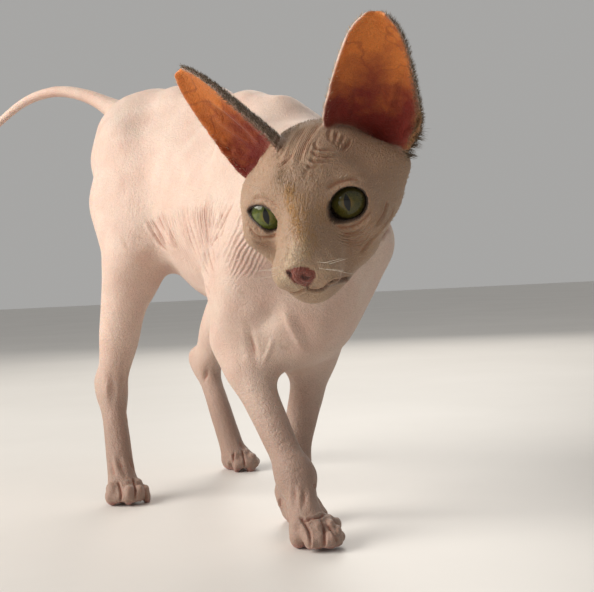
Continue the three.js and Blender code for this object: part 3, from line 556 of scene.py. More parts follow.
# Legs: level creases cross the forearm, and tendons stand out at the hocks and over the feet.
FOREARM_CREASES = [
    [(243, 391.5), (256, 393), (269, 391)],
    [(247, 404), (262, 405), (276, 402)],
    [(249, 418), (262, 418.5), (277, 413)],
    [(266, 431), (277, 430), (288, 425)],
    [(270, 446), (281, 444), (294, 437)],
    [(276, 461), (288, 461), (302, 453)],
    [(283, 474), (294, 472), (307, 464)],
    [(301, 398), (312, 402), (325, 400)],
    [(300, 420), (309, 423), (318, 421)],
]
in_turn(fold, [(crease, 1.0, -0.3, 0.4, 0.5) for crease in FOREARM_CREASES])
FOOT_GROOVES = [
    [(294, 484), (295, 497), (297, 511)],
    [(304, 482), (304, 498), (303, 515)],
    [(313, 482), (318, 496), (322, 511)],
    [(109, 456), (112, 468), (117, 481)],
    [(118, 452), (121, 465), (126, 478)],
    [(128, 456), (132, 466), (137, 476)],
    [(239, 436), (241, 445), (244, 452)],
]
in_turn(fold, [(groove, 1.6, -1.0, 0.35, 0.5) for groove in FOOT_GROOVES])
HOCK_HOLLOWS = [
    ([(110, 362), (112, 380), (112, 395), (106, 410)], 3.0, -1.7),
    ([(129, 345), (124, 368), (122, 390), (123, 424)], 2.2, -1.4),
    ([(108, 380), (107, 388), (106, 396)], 1.2, 0.8),
    ([(209, 362), (206, 376), (200, 387)], 2.0, -1.3),
    ([(217, 358), (213, 379), (207, 402)], 2.3, -1.6),
    ([(213, 350), (210, 371), (203, 392)], 1.3, 0.8),
]
in_turn(fold, [(*hollow, 0.0, 0.5) for hollow in HOCK_HOLLOWS])
TOE_GAPS = [
    [(300, 517), (307, 527), (310, 536), (310, 549)],
    [(320, 519), (324, 529), (324.5, 539), (324, 548)],
    [(326, 524), (332, 531), (336, 538), (337, 544)],
    [(300, 517), (306, 521), (311, 518.5), (319, 517.5), (325, 513.5)],
    [(118, 481), (121, 493), (120, 506)],
    [(133, 478), (135, 488.5), (136, 504)],
    [(143, 483), (145.5, 492), (146, 500)],
    [(234, 452), (233, 461), (234, 471)],
    [(242, 450), (244, 459), (245, 470)],
    [(280, 498), (280, 510), (281, 522)],
]
in_turn(fold, [(gap, 0.75, -1.5, 0.25, 0.12) for gap in TOE_GAPS])

# Ears: two low ridges run up from the canal, and a small pocket notches the outer edge.
EAR_RIDGES = [
    [(212, 112), (222, 122), (237, 133), (254, 145)],
    [(231, 150), (242, 157), (256, 159)],
    [(205, 96), (226, 110), (250, 132), (264, 150)],
    [(395, 60), (392, 90), (384, 120), (372, 142)],
    [(409, 100), (406, 124), (396, 146)],
    [(350, 70), (347, 100), (345, 130)],
]
in_turn(fold, [(ridge, 2.0, 0.9, 0.6) for ridge in EAR_RIDGES])
fold([(216, 140), (222, 146), (229, 149), (236, 148)], 1.3, -1.1, lips=0.5)
fold([(420, 116), (414, 128), (405, 136)], 1.4, -1.1, lips=0.5)
in_turn(swell, [((262, 160), 2.4, 1.3), ((258, 168), 2.2, 1.3)])
put_points(skin.data, places)

# The bottom of each fold is painted darker and redder as painted shade, so how deep the skin lies is
# kept from here.
normals = numbers_of(skin.data.vertices, "normal", 3).astype(float)
depths = ((relaxed(places, edges, SLACK, 7) - places) * normals).sum(1) / MM
fine_places = KDTree(len(places))
for index, place in enumerate(places):
    fine_places.insert(place, index)
fine_places.balance()

# The eyelids. Each is a thin dark-rimmed edge of skin that lies on the eyeball, with the almond
# opening of the photograph, slanted inwards on the right eye and nearly round on the left one.
LID_MARGIN = 0.5 * MM
LID_REACH = 15 * MM
RIM_REACH = 1.5 * LID_REACH  # the opening's open edges all lie within this
LID_BACK = -0.3  # the lids' skin lies in front of this share of the ball's radius
# Each turn of the rim inwards: its height over the ball, and how far it closes the opening.
LID_TURNS = [(0.2 * MM, LID_MARGIN), (-1.0 * MM, 0.0), (-3.0 * MM, 0.0)]
SOCKET_BOTTOM = 0.4  # of the ball's radius, in front of its middle
EYE_OPENINGS = {
    "right": [
        (248.6, 209.4), (252.8, 206), (259.5, 205.2), (267.5, 208.2), (274, 213),
        (278.6, 220.5), (279.2, 227.2), (272, 231.2), (263.5, 228.8), (254, 221), (249.6, 214.5),
    ],
    "left": [
        (329, 209), (332, 197), (339.5, 189), (350, 185.6), (360, 187.6), (367, 195),
        (367.5, 206), (361.5, 215.5), (351.5, 220.6), (341, 221), (333, 217.5),
    ],
}


def unit(vectors):
    """Vectors of the same directions, all of length 1."""
    return vectors / np.linalg.norm(vectors, axis=-1, keepdims=True)


def on_ball(pixel, centre, radius):
    """Where the camera sees a pixel on a ball, or the nearest place on the ball's edge."""
    ray = np.array(ray_through(pixel))
    away = centre - camera_place
    along = away @ ray
    miss = away - ray * along
    depth = math.sqrt(max(0.0, radius**2 - miss @ miss))
    return centre + unit(camera_place + ray * (along - depth) - centre) * radius


def closed_curve(marks, samples):
    """A smooth closed curve: two marks more at each end, and only the turn between them kept."""
    curve_marks = np.vstack([marks[-2:], marks, marks[:2]])
    pieces = len(marks) + 3
    curve = curve_through(curve_marks, samples * pieces // len(marks))
    first = int(round(2 / pieces * (len(curve) - 1)))
    last = int(round((2 / pieces + len(marks) / pieces) * (len(curve) - 1)))
    return curve[first:last]


def inside_outline(flat, outline):
    """True for each flat point that lies inside a closed outline."""
    x, y = flat[:, :1], flat[:, 1:]
    x1, y1 = outline[:, 0], outline[:, 1]
    x2, y2 = np.roll(x1, -1), np.roll(y1, -1)
    crosses = (y1 > y) != (y2 > y)
    rise = np.where(y2 == y1, 1e-12, y2 - y1)
    return (crosses & (x < (x2 - x1) * (y - y1) / rise + x1)).sum(1) % 2 == 1


def eye_ball(side):
    low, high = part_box(f"eye_{side}")
    return middle_of(f"eye_{side}"), (high.x - low.x) / 2


def open_lids(shape, side):
    """Cuts the opening over one eyeball and turns its rim inwards on to the ball."""
    centre, radius = eye_ball(side)
    opening = closed_curve(EYE_OPENINGS[side], 90)
    rim = np.array([on_ball(pixel, centre, radius + SOCKET_FILL) for pixel in opening])
    front = unit(rim.mean(0) - centre)
    right = unit(np.cross([0, 0, 1.0], front))
    chart = np.stack([right, np.cross(front, right)])
    outline = (rim - centre) @ chart.T

    def is_near(face):
        away = face.calc_center_median() - Vector(centre)
        return away.length < LID_REACH and away.dot(Vector(front)) > LID_BACK * radius

    def near_faces():
        return [face for face in shape.faces if is_near(face)]

    close = {edge for face in near_faces() for edge in face.edges}
    bmesh.ops.subdivide_edges(shape, edges=list(close), cuts=1, use_grid_fill=True)
    bmesh.ops.triangulate(shape, faces=[face for face in near_faces() if len(face.verts) > 3])
    faces = near_faces()
    middles = np.array([face.calc_center_median() for face in faces])
    gone = inside_outline((middles - centre) @ chart.T, outline)
    bmesh.ops.delete(shape, geom=[f for f, out in zip(faces, gone) if out], context="FACES")
    edge_loop = [
        edge
        for edge in shape.edges
        if edge.is_boundary and (edge.verts[0].co - Vector(centre)).length < RIM_REACH
    ]
    for vert in {vert for edge in edge_loop for vert in edge.verts}:
        flat = (np.array(vert.co) - centre) @ chart.T
        vert.co = rim[np.linalg.norm(outline - flat, axis=1).argmin()]
    middle_point = rim.mean(0)
    for height, inwards in LID_TURNS:
        pushed = bmesh.ops.extrude_edge_only(shape, edges=edge_loop)["geom"]
        edge_loop = [item for item in pushed if isinstance(item, bmesh.types.BMEdge)]
        for vert in [item for item in pushed if isinstance(item, bmesh.types.BMVert)]:
            place = np.array(vert.co)
            place += unit(middle_point - place) * inwards
            vert.co = centre + unit(place - centre) * (radius + height)
    last = bmesh.ops.extrude_edge_only(shape, edges=edge_loop)["geom"]
    inmost = [item for item in last if isinstance(item, bmesh.types.BMVert)]
    bottom = Vector(centre + front * radius * SOCKET_BOTTOM)
    bmesh.ops.pointmerge(shape, verts=inmost, merge_co=bottom)
    return rim


def thin_out(parts, share, before):
    """Leaves a share of the triangles of some parts, and returns how many are left in all."""
    members = np.flatnonzero([part.startswith(parts) for part in region])
    group = skin.vertex_groups.new(name=parts[0])
    group.add(members.tolist(), 1.0, "REPLACE")
    thinner = skin.modifiers.new(f"thin {parts[0]}", "DECIMATE")
    thinner.vertex_group = group.name
    after = before - 2 * len(members) * (1 - share)
    thinner.ratio = after / before
    return after


THINNING = [
    (("torso", "neck", "thigh", "shank", "foreleg", "tail"), 0.105),
    (("ear",), 0.5),
    (("forepaw", "hindpaw"), 0.45),
]
triangles_left = 2 * len(skin.data.polygons)
for parts, share in THINNING:
    triangles_left = thin_out(parts, share, triangles_left)
with_modifiers_applied(skin)
skin.vertex_groups.clear()
shape = bmesh.new()
shape.from_mesh(skin.data)
lid_rims = {side: open_lids(shape, side) for side in EYE_OPENINGS}
bmesh.ops.recalc_face_normals(shape, faces=shape.faces)
shape.to_mesh(skin.data)
shape.free()
shade_smooth(skin)

# The skin's colours. It is pale pinkish cream, browner on the legs and grey-brown on the head, whose
# darkness is partly painted shade. More painted shade makes it darker and redder in the folds, and
# darker under the body, in the nostrils, round the mouth and at the crown. Short grey-brown and tan down
# lies on the brow, nose and ears, whose insides are painted with an orange and crimson glow of light
# through them.
places = numbers_of(skin.data.vertices, "co", 3).astype(float)
normals = numbers_of(skin.data.vertices, "normal", 3).astype(float)
edges = numbers_of(skin.data.edges, "vertices", 2, np.int32)
skin_tree = BVHTree.FromObject(skin, bpy.context.evaluated_depsgraph_get())
region = nearest_nodes(places)
in_head = (places - head_centre) @ head_axes / MM


def blob(pixel, radius):
    """1 at the place where the camera sees a pixel, falling to 0 around it."""
    gap = np.linalg.norm(places - np.array(on_skin(pixel)[0]), axis=1) / (radius * MM)
    return np.exp(-(gap**2))


def band(marks, radius):
    """1 along a line on the skin, falling to 0 beside it."""
    near, gaps = near_line(line_on_skin(marks)[0], 3 * radius * MM)
    mask = np.zeros(len(places))
    mask[near] = np.exp(-((gaps.min(1) / (radius * MM)) ** 2))
    return mask


def seen_at(where):
    """The pixels of the photograph at which places stand."""
    local = (where - camera_place) @ camera_axes
    return PHOTO_CENTRE + local[:, :2] * [1, -1] / -local[:, 2:] * FOCAL_LENGTH


def ramp(values, low, high):
    """0 below low, 1 above high, and a soft rise between them."""
    part = np.clip((values - low) / (high - low), 0, 1)
    return part * part * (3 - 2 * part)


def most(*masks):
    return np.clip(np.max(masks, axis=0), 0, 1)


def paint(name, red, green, blue):
    """Stores three masks as one colour attribute of the skin."""
    attribute = skin.data.attributes.new(name, "FLOAT_COLOR", "POINT")
    values = np.stack([red, green, blue, np.ones(len(places))], axis=1)
    attribute.data.foreach_set("color", values.astype(np.float32).ravel())


MASK_SLACK = 0.6
head_part = np.char.startswith(region, "head").astype(float)[:, None]
head_part = relaxed(head_part, edges, SLACK, 25)[:, 0]
NOSE_LEATHER = [
    (286, 271), (290, 269), (296, 267.3), (302, 266.2), (308, 267.6), (313, 270.5),
    (316, 273), (314.5, 278), (311, 283), (306.5, 287), (299, 284.5), (291, 280),
]
nose_place = np.array(on_skin((300, 276))[0])
by_nose = np.linalg.norm(places - nose_place, axis=1) < 11 * MM
in_leather = inside_outline(seen_at(places), closed_curve(np.array(NOSE_LEATHER), 60))
nose = (by_nose & in_leather).astype(float)
lid_rim_and_hollow_shade = np.zeros(len(places))
for side, rim in lid_rims.items():
    centre, radius = eye_ball(side)
    near = np.flatnonzero(np.linalg.norm(places - centre, axis=1) < LID_REACH)
    gap = np.linalg.norm(places[near, None] - rim[None], axis=2).min(1)
    lid_rim_and_hollow_shade[near] = np.maximum(lid_rim_and_hollow_shade[near], 1 - ramp(gap, 0.15 * MM, 1.25 * MM))
    inner = np.linalg.norm(places[near] - centre, axis=1) < radius + 0.55 * MM
    lid_rim_and_hollow_shade[near[inner]] = 1
lid_rim_and_hollow_shade = relaxed(lid_rim_and_hollow_shade[:, None], edges, MASK_SLACK, 3)[:, 0]
# Painted shade: the nostrils are painted near black.
NOSTRILS = [[(287.8, 272.5), (289.8, 274), (291, 276)], [(302, 277), (304.5, 278.5), (308, 277.5)]]
for nostril in NOSTRILS:
    lid_rim_and_hollow_shade = np.maximum(lid_rim_and_hollow_shade, 0.95 * band(nostril, 0.75))
# The mouth line is painted dark, partly the lip's own dark edge and partly painted shade; the band under
# it is painted shade in the mouth's opening.
lid_rim_and_hollow_shade = np.maximum(lid_rim_and_hollow_shade, 0.75 * band(MOUTH, 0.75))
lid_rim_and_hollow_shade = np.maximum(lid_rim_and_hollow_shade, 0.55 * band([(322, 289), (331, 285.5), (341, 281.5), (350, 278)], 1.3))

depth = depths[[fine_places.find(place)[1] for place in places]][:, None]
depth = relaxed(depth, edges, 0.5)[:, 0]
# Painted shade: the deeper a fold, the darker and redder its bottom is painted.
crease = ramp(depth, 0.06, 0.42)

ear_inside, ear_outside, ear_height, ear_rim, pale_rim = np.zeros((5, len(places)))
for side, ear in EARS.items():
    local = (places - ear_base(ear)) @ ear_axes(ear)
    facing = normals @ ear_axes(ear)
    height = np.clip(local[:, 2] / EAR_LENGTH, 0, 1)
    outward = local[:, 0] * facing[:, 0] / EAR_HALF_WIDTH**2
    outward += local[:, 1] * facing[:, 1] / EAR_DEPTH**2
    mine = (region == f"ear_{side}").astype(float)
    ear_inside += mine * (outward < 0)
    ear_outside += mine * (outward >= 0)
    ear_height += mine * height
    rim = mine * ramp(np.abs(local[:, 0]) / ear_half_width(height), 0.86, 0.97)
    ear_rim += rim * (local[:, 0] > 0)
    pale_rim += rim * (local[:, 0] <= 0)
masks = np.stack([ear_inside, ear_outside, ear_height, ear_rim, pale_rim], axis=1)
ear_inside, ear_outside, ear_height, ear_rim, pale_rim = relaxed(masks, edges, MASK_SLACK, 2).T

crease *= 1 - 0.85 * ear_inside
# Dark down, and painted shade at the root of the right ear and over the back of the head.
dark_down_and_crown_shade = most(
    0.9 * blob((281, 178), 6.5), 0.9 * blob((289, 186), 5.0), 0.55 * blob((300, 170), 9),
    0.9 * blob((292, 130), 7), 0.7 * blob((278, 150), 5),
    0.85 * ear_outside * (1 - pale_rim), 0.7 * ear_rim,
    0.7 * head_part * ramp(in_head[:, 1], -6, 12) * ramp(in_head[:, 2], 4, 18),
)
tan_down = most(
    band([(289, 191), (291, 204), (296, 221), (302, 238), (307, 252)], 4.2),
    0.75 * band([(300, 200), (306, 222), (313, 242)], 5.5),
    0.6 * blob((322, 214), 12), 0.35 * head_part,
    0.8 * band([(421, 114), (417, 130), (409, 150)], 3.6), 0.5 * blob((286, 200), 5),
)
pale_down = most(
    blob((292, 262), 6), blob((284, 279), 5), blob((299, 250), 5), 0.8 * blob((295, 288), 5),
    0.5 * blob((325, 268), 7), 0.5 * blob((316, 296), 5),
)
low_legs = 0.9 * (1 - ramp(places[:, 2], 0.03, 0.115))
pads = (1 - ramp(places[:, 2], 0.0015, 0.004)) * (normals[:, 2] < -0.2)
# Painted shade: skin that faces down under the body is painted darker, in the pads' colour.
in_shade = ramp(-normals[:, 2], 0.2, 0.9) * (1 - head_part) * ramp(places[:, 2], 0.08, 0.12)
paint("down", dark_down_and_crown_shade, tan_down, pale_down)
paint("flesh", crease, low_legs, nose)
paint("ear", ear_inside, ear_outside, ear_height)
paint("edge", lid_rim_and_hollow_shade, most(pads, 0.35 * in_shade), head_part)


FAN_STEPS = 60  # points along a fan's lines
FAN_LINES = 40
FAN_EDGE = 3  # pixels around a fan in which the skin is still measured
FAN_FADE = 0.25  # of a fan's length, at each end


def across_fan(part, first, last, count):
    """How many folds lie before each place, in a fan of them, and 1 inside the fan or 0."""
    on_part = head_part > 0.5 if part == "head" else head_part < 0.2
    near_side, far_side = curve_through(first, FAN_STEPS), curve_through(last, FAN_STEPS)
    shares = np.linspace(0, 1, FAN_LINES)
    grid = near_side + (far_side - near_side) * shares[:, None, None]
    pixels = seen_at(places)
    inside = (pixels > grid.min((0, 1)) - FAN_EDGE) & (pixels < grid.max((0, 1)) + FAN_EDGE)
    towards = ((camera_place - places) * normals).sum(1) > 0
    near = np.flatnonzero(inside.all(1) & towards & on_part)
    gaps = np.linalg.norm(pixels[near, None] - grid.reshape(1, -1, 2), axis=2)
    row, step = np.divmod(gaps.argmin(1), FAN_STEPS)
    off = pixels[near] - grid[row, step]
    wide = (far_side - near_side)[step]
    long = np.gradient(grid, axis=1)[row, step]
    share = shares[row] + (off * wide).sum(1) / (wide**2).sum(1)
    travel = (step + (off * long).sum(1) / (long**2).sum(1)) / (FAN_STEPS - 1)
    phase, mask = np.zeros((2, len(places)))
    phase[near] = share * count
    edge_fall = ramp(share, -0.1, 0.08) * ramp(1 - share, -0.1, 0.08)
    mask[near] = edge_fall * ramp(travel, 0, FAN_FADE) * ramp(1 - travel, 0, FAN_FADE)
    return phase, mask


# Fine folds lie between the deeper ones. The skin keeps how far across their fan each place is.
FINE_FANS = [
    [
        ("head", [(299, 124), (292, 138), (286, 152), (281, 168)],
         [(323, 121), (317, 131), (308, 148), (304, 172)], 11),
        ("head", [(312, 147), (328, 150), (346, 154)], [(309, 168), (322, 168), (336, 168)], 6),
        ("head", [(255, 238), (262, 243), (272, 243)], [(258, 248), (264, 250), (271, 250)], 3),
        ("body", [(209, 295), (194, 275), (177, 249), (164, 227), (158, 208)],
         [(222, 276), (220, 254), (221, 232), (224, 208), (231, 186)], 26),
    ],
    [
        ("head", [(290, 147), (279, 157), (268, 166)], [(300, 160), (289, 168), (278, 176)], 8),
        ("head", [(333, 140), (337, 147), (335, 152)], [(356, 136), (352, 146), (346, 152)], 5),
        ("head", [(334, 228), (348, 233), (362, 228), (374, 214)],
         [(336, 242), (350, 246), (366, 242), (382, 226)], 4),
        ("body", [(249, 186), (239, 214), (225, 245), (211, 275)],
         [(273, 232), (267, 255), (256, 278), (240, 300)], 9),
        ("body", [(143, 214), (152, 229), (161, 243), (170, 253)],
         [(160, 206), (166, 224), (173, 240), (181, 252)], 9),
    ],
]
for name, fans in zip(("fine folds", "finer folds"), FINE_FANS):
    phases, strengths = zip(*[across_fan(*lines) for lines in fans])
    strongest = np.argmax(strengths, axis=0)
    phase, strength = np.choose(strongest, phases), np.choose(strongest, strengths)
    paint(name, phase, strength, np.zeros(len(places)))


def fill(tree, node, inputs):
    """Gives a node its inputs, as values or as other nodes' outputs."""
    for socket, value in inputs.items():
        if isinstance(value, bpy.types.NodeSocket):
            tree.links.new(value, node.inputs[socket])
        else:
            node.inputs[socket].default_value = value


def put_node(tree, kind, inputs=(), **settings):
    """A node with its settings and inputs."""
    made = tree.nodes.new(kind)
    for name, value in settings.items():
        setattr(made, name, value)
    fill(tree, made, dict(inputs))
    return made


def new_material(name):
    """A node material with its tree, and the place in it, counted in the piece's own frame."""
    material = bpy.data.materials.new(name)
    material.use_nodes = True
    tree = material.node_tree
    return material, tree, put_node(tree, "ShaderNodeTexCoord").outputs["Object"]


def fill_shader(tree, inputs):
    fill(tree, tree.nodes["Principled BSDF"], inputs)


def mixed(tree, mask, under, over, blend="MIX"):
    """The colour under, with the colour over laid on it by the mask."""
    inputs = {0: mask, 6: under, 7: over}
    return put_node(tree, "ShaderNodeMix", inputs, data_type="RGBA", blend_type=blend).outputs[2]


def layered(tree, colour, layers):
    """A colour with others laid over it one by one, each by its mask."""
    for mask, over in layers:
        colour = mixed(tree, mask, colour, over)
    return colour


def sums(tree, kind, a, b=0.0, c=0.5):
    return put_node(tree, "ShaderNodeMath", {0: a, 1: b, 2: c}, operation=kind).outputs[0]


def times(tree, a, b):
    return sums(tree, "MULTIPLY", a, b)


def masks_of(tree, name):
    colour = put_node(tree, "ShaderNodeAttribute", attribute_name=name).outputs["Color"]
    return put_node(tree, "ShaderNodeSeparateColor", {"Color": colour}).outputs


def noise(tree, place, scale, detail=3.0, rough=0.55, distortion=0.0):
    inputs = {"Vector": place, "Scale": scale, "Detail": detail, "Roughness": rough}
    inputs["Distortion"] = distortion
    return put_node(tree, "ShaderNodeTexNoise", inputs).outputs["Fac"]


def stretched(tree, value, low, high):
    inputs = {"Value": value, "From Min": low, "From Max": high}
    return put_node(tree, "ShaderNodeMapRange", inputs).outputs["Result"]


def drawn_out(tree, place, scale):
    return put_node(tree, "ShaderNodeMapping", {"Vector": place, "Scale": scale}).outputs["Vector"]


def bumped(tree, height, strength, distance):
    inputs = {"Height": height, "Strength": strength, "Distance": distance}
    return put_node(tree, "ShaderNodeBump", inputs).outputs["Normal"]


# Living skin has blotches of blood under it, and pores and hair roots in it, at two scales.
blotches = bpy.data.node_groups.new("blotches and pores", "ShaderNodeTree")
GROUP_SOCKETS = {"Blotch Scale": "INPUT", "Pore Scale": "INPUT", "Blotches": "OUTPUT", "Pores": "OUTPUT"}
for name, way in GROUP_SOCKETS.items():
    blotches.interface.new_socket(name, in_out=way, socket_type="NodeSocketFloat")
group_in = blotches.nodes.new("NodeGroupInput")
group_out = blotches.nodes.new("NodeGroupOutput")
own_place = put_node(blotches, "ShaderNodeTexCoord").outputs["Object"]
wide = noise(blotches, own_place, group_in.outputs["Blotch Scale"], 4.0, 0.6)
fine = noise(blotches, own_place, group_in.outputs["Pore Scale"], 2.0, 0.6)
blotches.links.new(stretched(blotches, wide, 0.35, 0.68), group_out.inputs["Blotches"])
blotches.links.new(stretched(blotches, fine, 0.3, 0.7), group_out.inputs["Pores"])

PALE_SKIN = (0.66, 0.51, 0.425, 1)
FLUSHED_SKIN = (0.56, 0.345, 0.27, 1)
LEG_SKIN = (0.29, 0.185, 0.14, 1)
FOLD_SHADE = (0.33, 0.105, 0.06, 1)
# The head's own grey-brown tone, made darker as painted shade.
SHADE_DARKENED_HEAD_SKIN = (0.315, 0.205, 0.145, 1)
PAD_SKIN_AND_UNDER_SHADE = (0.36, 0.17, 0.14, 1)
NOSE_SKIN = (0.19, 0.045, 0.028, 1)
DARK_RIM_AND_HOLLOW_SHADE = (0.022, 0.012, 0.009, 1)
DARK_DOWN_AND_SHADE = (0.085, 0.056, 0.034, 1)
TAN_DOWN = (0.36, 0.185, 0.055, 1)
PALE_DOWN = (0.56, 0.43, 0.29, 1)
# Colours of the painted glow of light through the ears.
EAR_GLOW_ORANGE = (0.64, 0.19, 0.03, 1)
EAR_CRIMSON = (0.20, 0.013, 0.006, 1)
skin_material, tree, place = new_material("sphynx skin")
down, flesh, ear, edge = [masks_of(tree, name) for name in ("down", "flesh", "ear", "edge")]
wander = times(tree, noise(tree, place, 70), 1.8)
fine_lines = []
for name in ("fine folds", "finer folds"):
    fan_masks = masks_of(tree, name)
    turn = times(tree, sums(tree, "ADD", fan_masks["Red"], wander), 2 * math.pi)
    fine_lines.append(times(tree, sums(tree, "SINE", turn), fan_masks["Green"]))
strength = stretched(tree, noise(tree, place, 55, 2.0), 0.38, 0.62)
fine_folds = times(tree, sums(tree, "ADD", *fine_lines), strength)
# Painted shade: the valleys of the fine folds are painted darker and redder.
fine_fold_shade = times(tree, stretched(tree, fine_folds, -0.1, -1.0), 0.32)
scales = {"Blotch Scale": 42, "Pore Scale": 1500}
patches = put_node(tree, "ShaderNodeGroup", scales, node_tree=blotches).outputs
pore = patches["Pores"]

# Inside the ears the pink skin is painted with the glow of light shining through it, crimson near the
# root and orange towards the tip, and darker veins cross the painted glow.
glow_noise = noise(tree, place, 70, 4.0, 0.6, 0.2)
warm = sums(tree, "ADD", ear["Blue"], sums(tree, "MULTIPLY_ADD", glow_noise, 0.9, -0.45))
vein = sums(tree, "ABSOLUTE", sums(tree, "SUBTRACT", noise(tree, place, 60, 2.0, 0.5, 0.2), 0.5))
vein = times(tree, stretched(tree, vein, 0.03, 0.0), 0.4)
glow = [(stretched(tree, warm, 0.22, 0.72), EAR_GLOW_ORANGE), (vein, EAR_CRIMSON)]
inner_ear = layered(tree, EAR_CRIMSON, glow)

# The down's colours are grizzled: each coat is laid on by its mask and by drawn-out noise.
grizzle = noise(tree, drawn_out(tree, place, (1, 1, 0.35)), 1300, 2.0, 0.7)
grizzle = stretched(tree, grizzle, 0.38, 0.62)
# The dark coat also carries the painted shade at the crown.
COATS = [
    ("Red", DARK_DOWN_AND_SHADE, 0.95, 0.2), ("Green", TAN_DOWN, 0.7, 0.35), ("Blue", PALE_DOWN, 0.7, 0.25)
]
coats = []
for channel, tint, uneven, least in COATS:
    cover = sums(tree, "MULTIPLY_ADD", grizzle, uneven, least)
    coats.append((times(tree, down[channel], cover), tint))
colour = layered(tree, PALE_SKIN, [
    (times(tree, patches["Blotches"], 0.55), FLUSHED_SKIN),
    # The head's grey-brown skin, partly painted shade.
    (times(tree, edge["Blue"], 0.9), SHADE_DARKENED_HEAD_SKIN),
    (flesh["Green"], LEG_SKIN),
    # The pads' own colour, and painted shade under the body.
    (times(tree, edge["Green"], 0.9), PAD_SKIN_AND_UNDER_SHADE),
    # Painted glow inside the ears.
    (ear["Red"], inner_ear),
    # Painted shade in the fine and the deep folds.
    (fine_fold_shade, FOLD_SHADE),
    (times(tree, flesh["Red"], 0.6), FOLD_SHADE),
    *coats,
    (flesh["Blue"], NOSE_SKIN),
    # Dark lid rims, and painted shade in the nostrils and round the mouth.
    (edge["Red"], DARK_RIM_AND_HOLLOW_SHADE),
])
colour = mixed(tree, 1.0, colour, sums(tree, "MULTIPLY_ADD", pore, 0.24, 0.88), "MULTIPLY")

# Its relief: a net of fine crossing wrinkles, pores between them, and the lie of the down.
inputs = {"Vector": place, "Scale": 420.0}
net = put_node(tree, "ShaderNodeTexVoronoi", inputs, feature="DISTANCE_TO_EDGE")
net = stretched(tree, net.outputs["Distance"], 0.0, 0.16)
any_down = sums(tree, "MAXIMUM", sums(tree, "MAXIMUM", down["Red"], down["Green"]), down["Blue"])
lie = times(tree, grizzle, any_down)
drape = noise(tree, drawn_out(tree, place, (1, 1, 0.16)), 130, 3.0, 0.55, 0.3)
relief = noise(tree, place, 210, 4.0, 0.6, 1.2)
for height, share in ((net, 0.35), (pore, 0.35), (lie, 1.3), (fine_folds, 1.1), (drape, 1.6)):
    relief = sums(tree, "MULTIPLY_ADD", height, share, relief)
wet = sums(tree, "MAXIMUM", flesh["Blue"], edge["Red"])
gloss = sums(tree, "MULTIPLY_ADD", pore, 0.12, 0.50)
fill_shader(tree, {
    "Base Color": colour,
    "Normal": bumped(tree, relief, 0.6, 0.0007),
    "Roughness": sums(tree, "SUBTRACT", gloss, times(tree, wet, 0.22)),
    "Specular IOR Level": 0.42,
    "Subsurface Weight": 0.22,
    "Subsurface Radius": (1.0, 0.32, 0.16),
    "Subsurface Scale": 0.0035,
    "Sheen Weight": 0.16,
    "Sheen Roughness": 0.45,
    "Sheen Tint": (1.0, 0.9, 0.78, 1),
})
skin.data.materials.clear()
skin.data.materials.append(skin_material)
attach(skin, "root")
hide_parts(*FLESH, "ear_left", "ear_right")

# The eyes. Each is a glossy ball with a clear bulge in front. The iris is green, with fine rays,
# a yellower ring round the upright slit of the pupil, and a dark edge. Painted shade darkens the top of
# each iris under the lid, each iris a little all over, and the left iris much more.
PUPILS = {"right": (266.3, 216.5), "left": (347.3, 202.6)}
CORNEA_RISE = 0.45 * MM
IRIS_RADIUS = 7.7
# Painted shade: each iris is darkened, the left one much more.
IRIS_PAINTED_SHADE = {"right": (0.95, 0.88, 0.9, 1), "left": (0.62, 0.42, 0.45, 1)}
PUPIL_HALF_WIDTH = 1.5
PUPIL_HALF_HEIGHT = 4.0
IRIS_DARK = (0.018, 0.035, 0.006, 1)
IRIS_GREEN = (0.12, 0.175, 0.03, 1)
IRIS_CLOUD = (0.17, 0.18, 0.028, 1)
IRIS_RING = (0.27, 0.21, 0.025, 1)
IRIS_LID_SHADOW = (0.02, 0.022, 0.006, 1)
IRIS_EDGE = (0.012, 0.008, 0.005, 1)
PUPIL_BLACK = (0.002, 0.002, 0.002, 1)


def eye_axes(side):
    """Columns: the eye's right, its up, and the way it looks."""
    centre, radius = eye_ball(side)
    gaze = unit(on_ball(PUPILS[side], centre, radius) - centre)
    across = unit(np.cross(head_axes[:, 2], gaze))
    return np.stack([across, np.cross(gaze, across), gaze], axis=1)


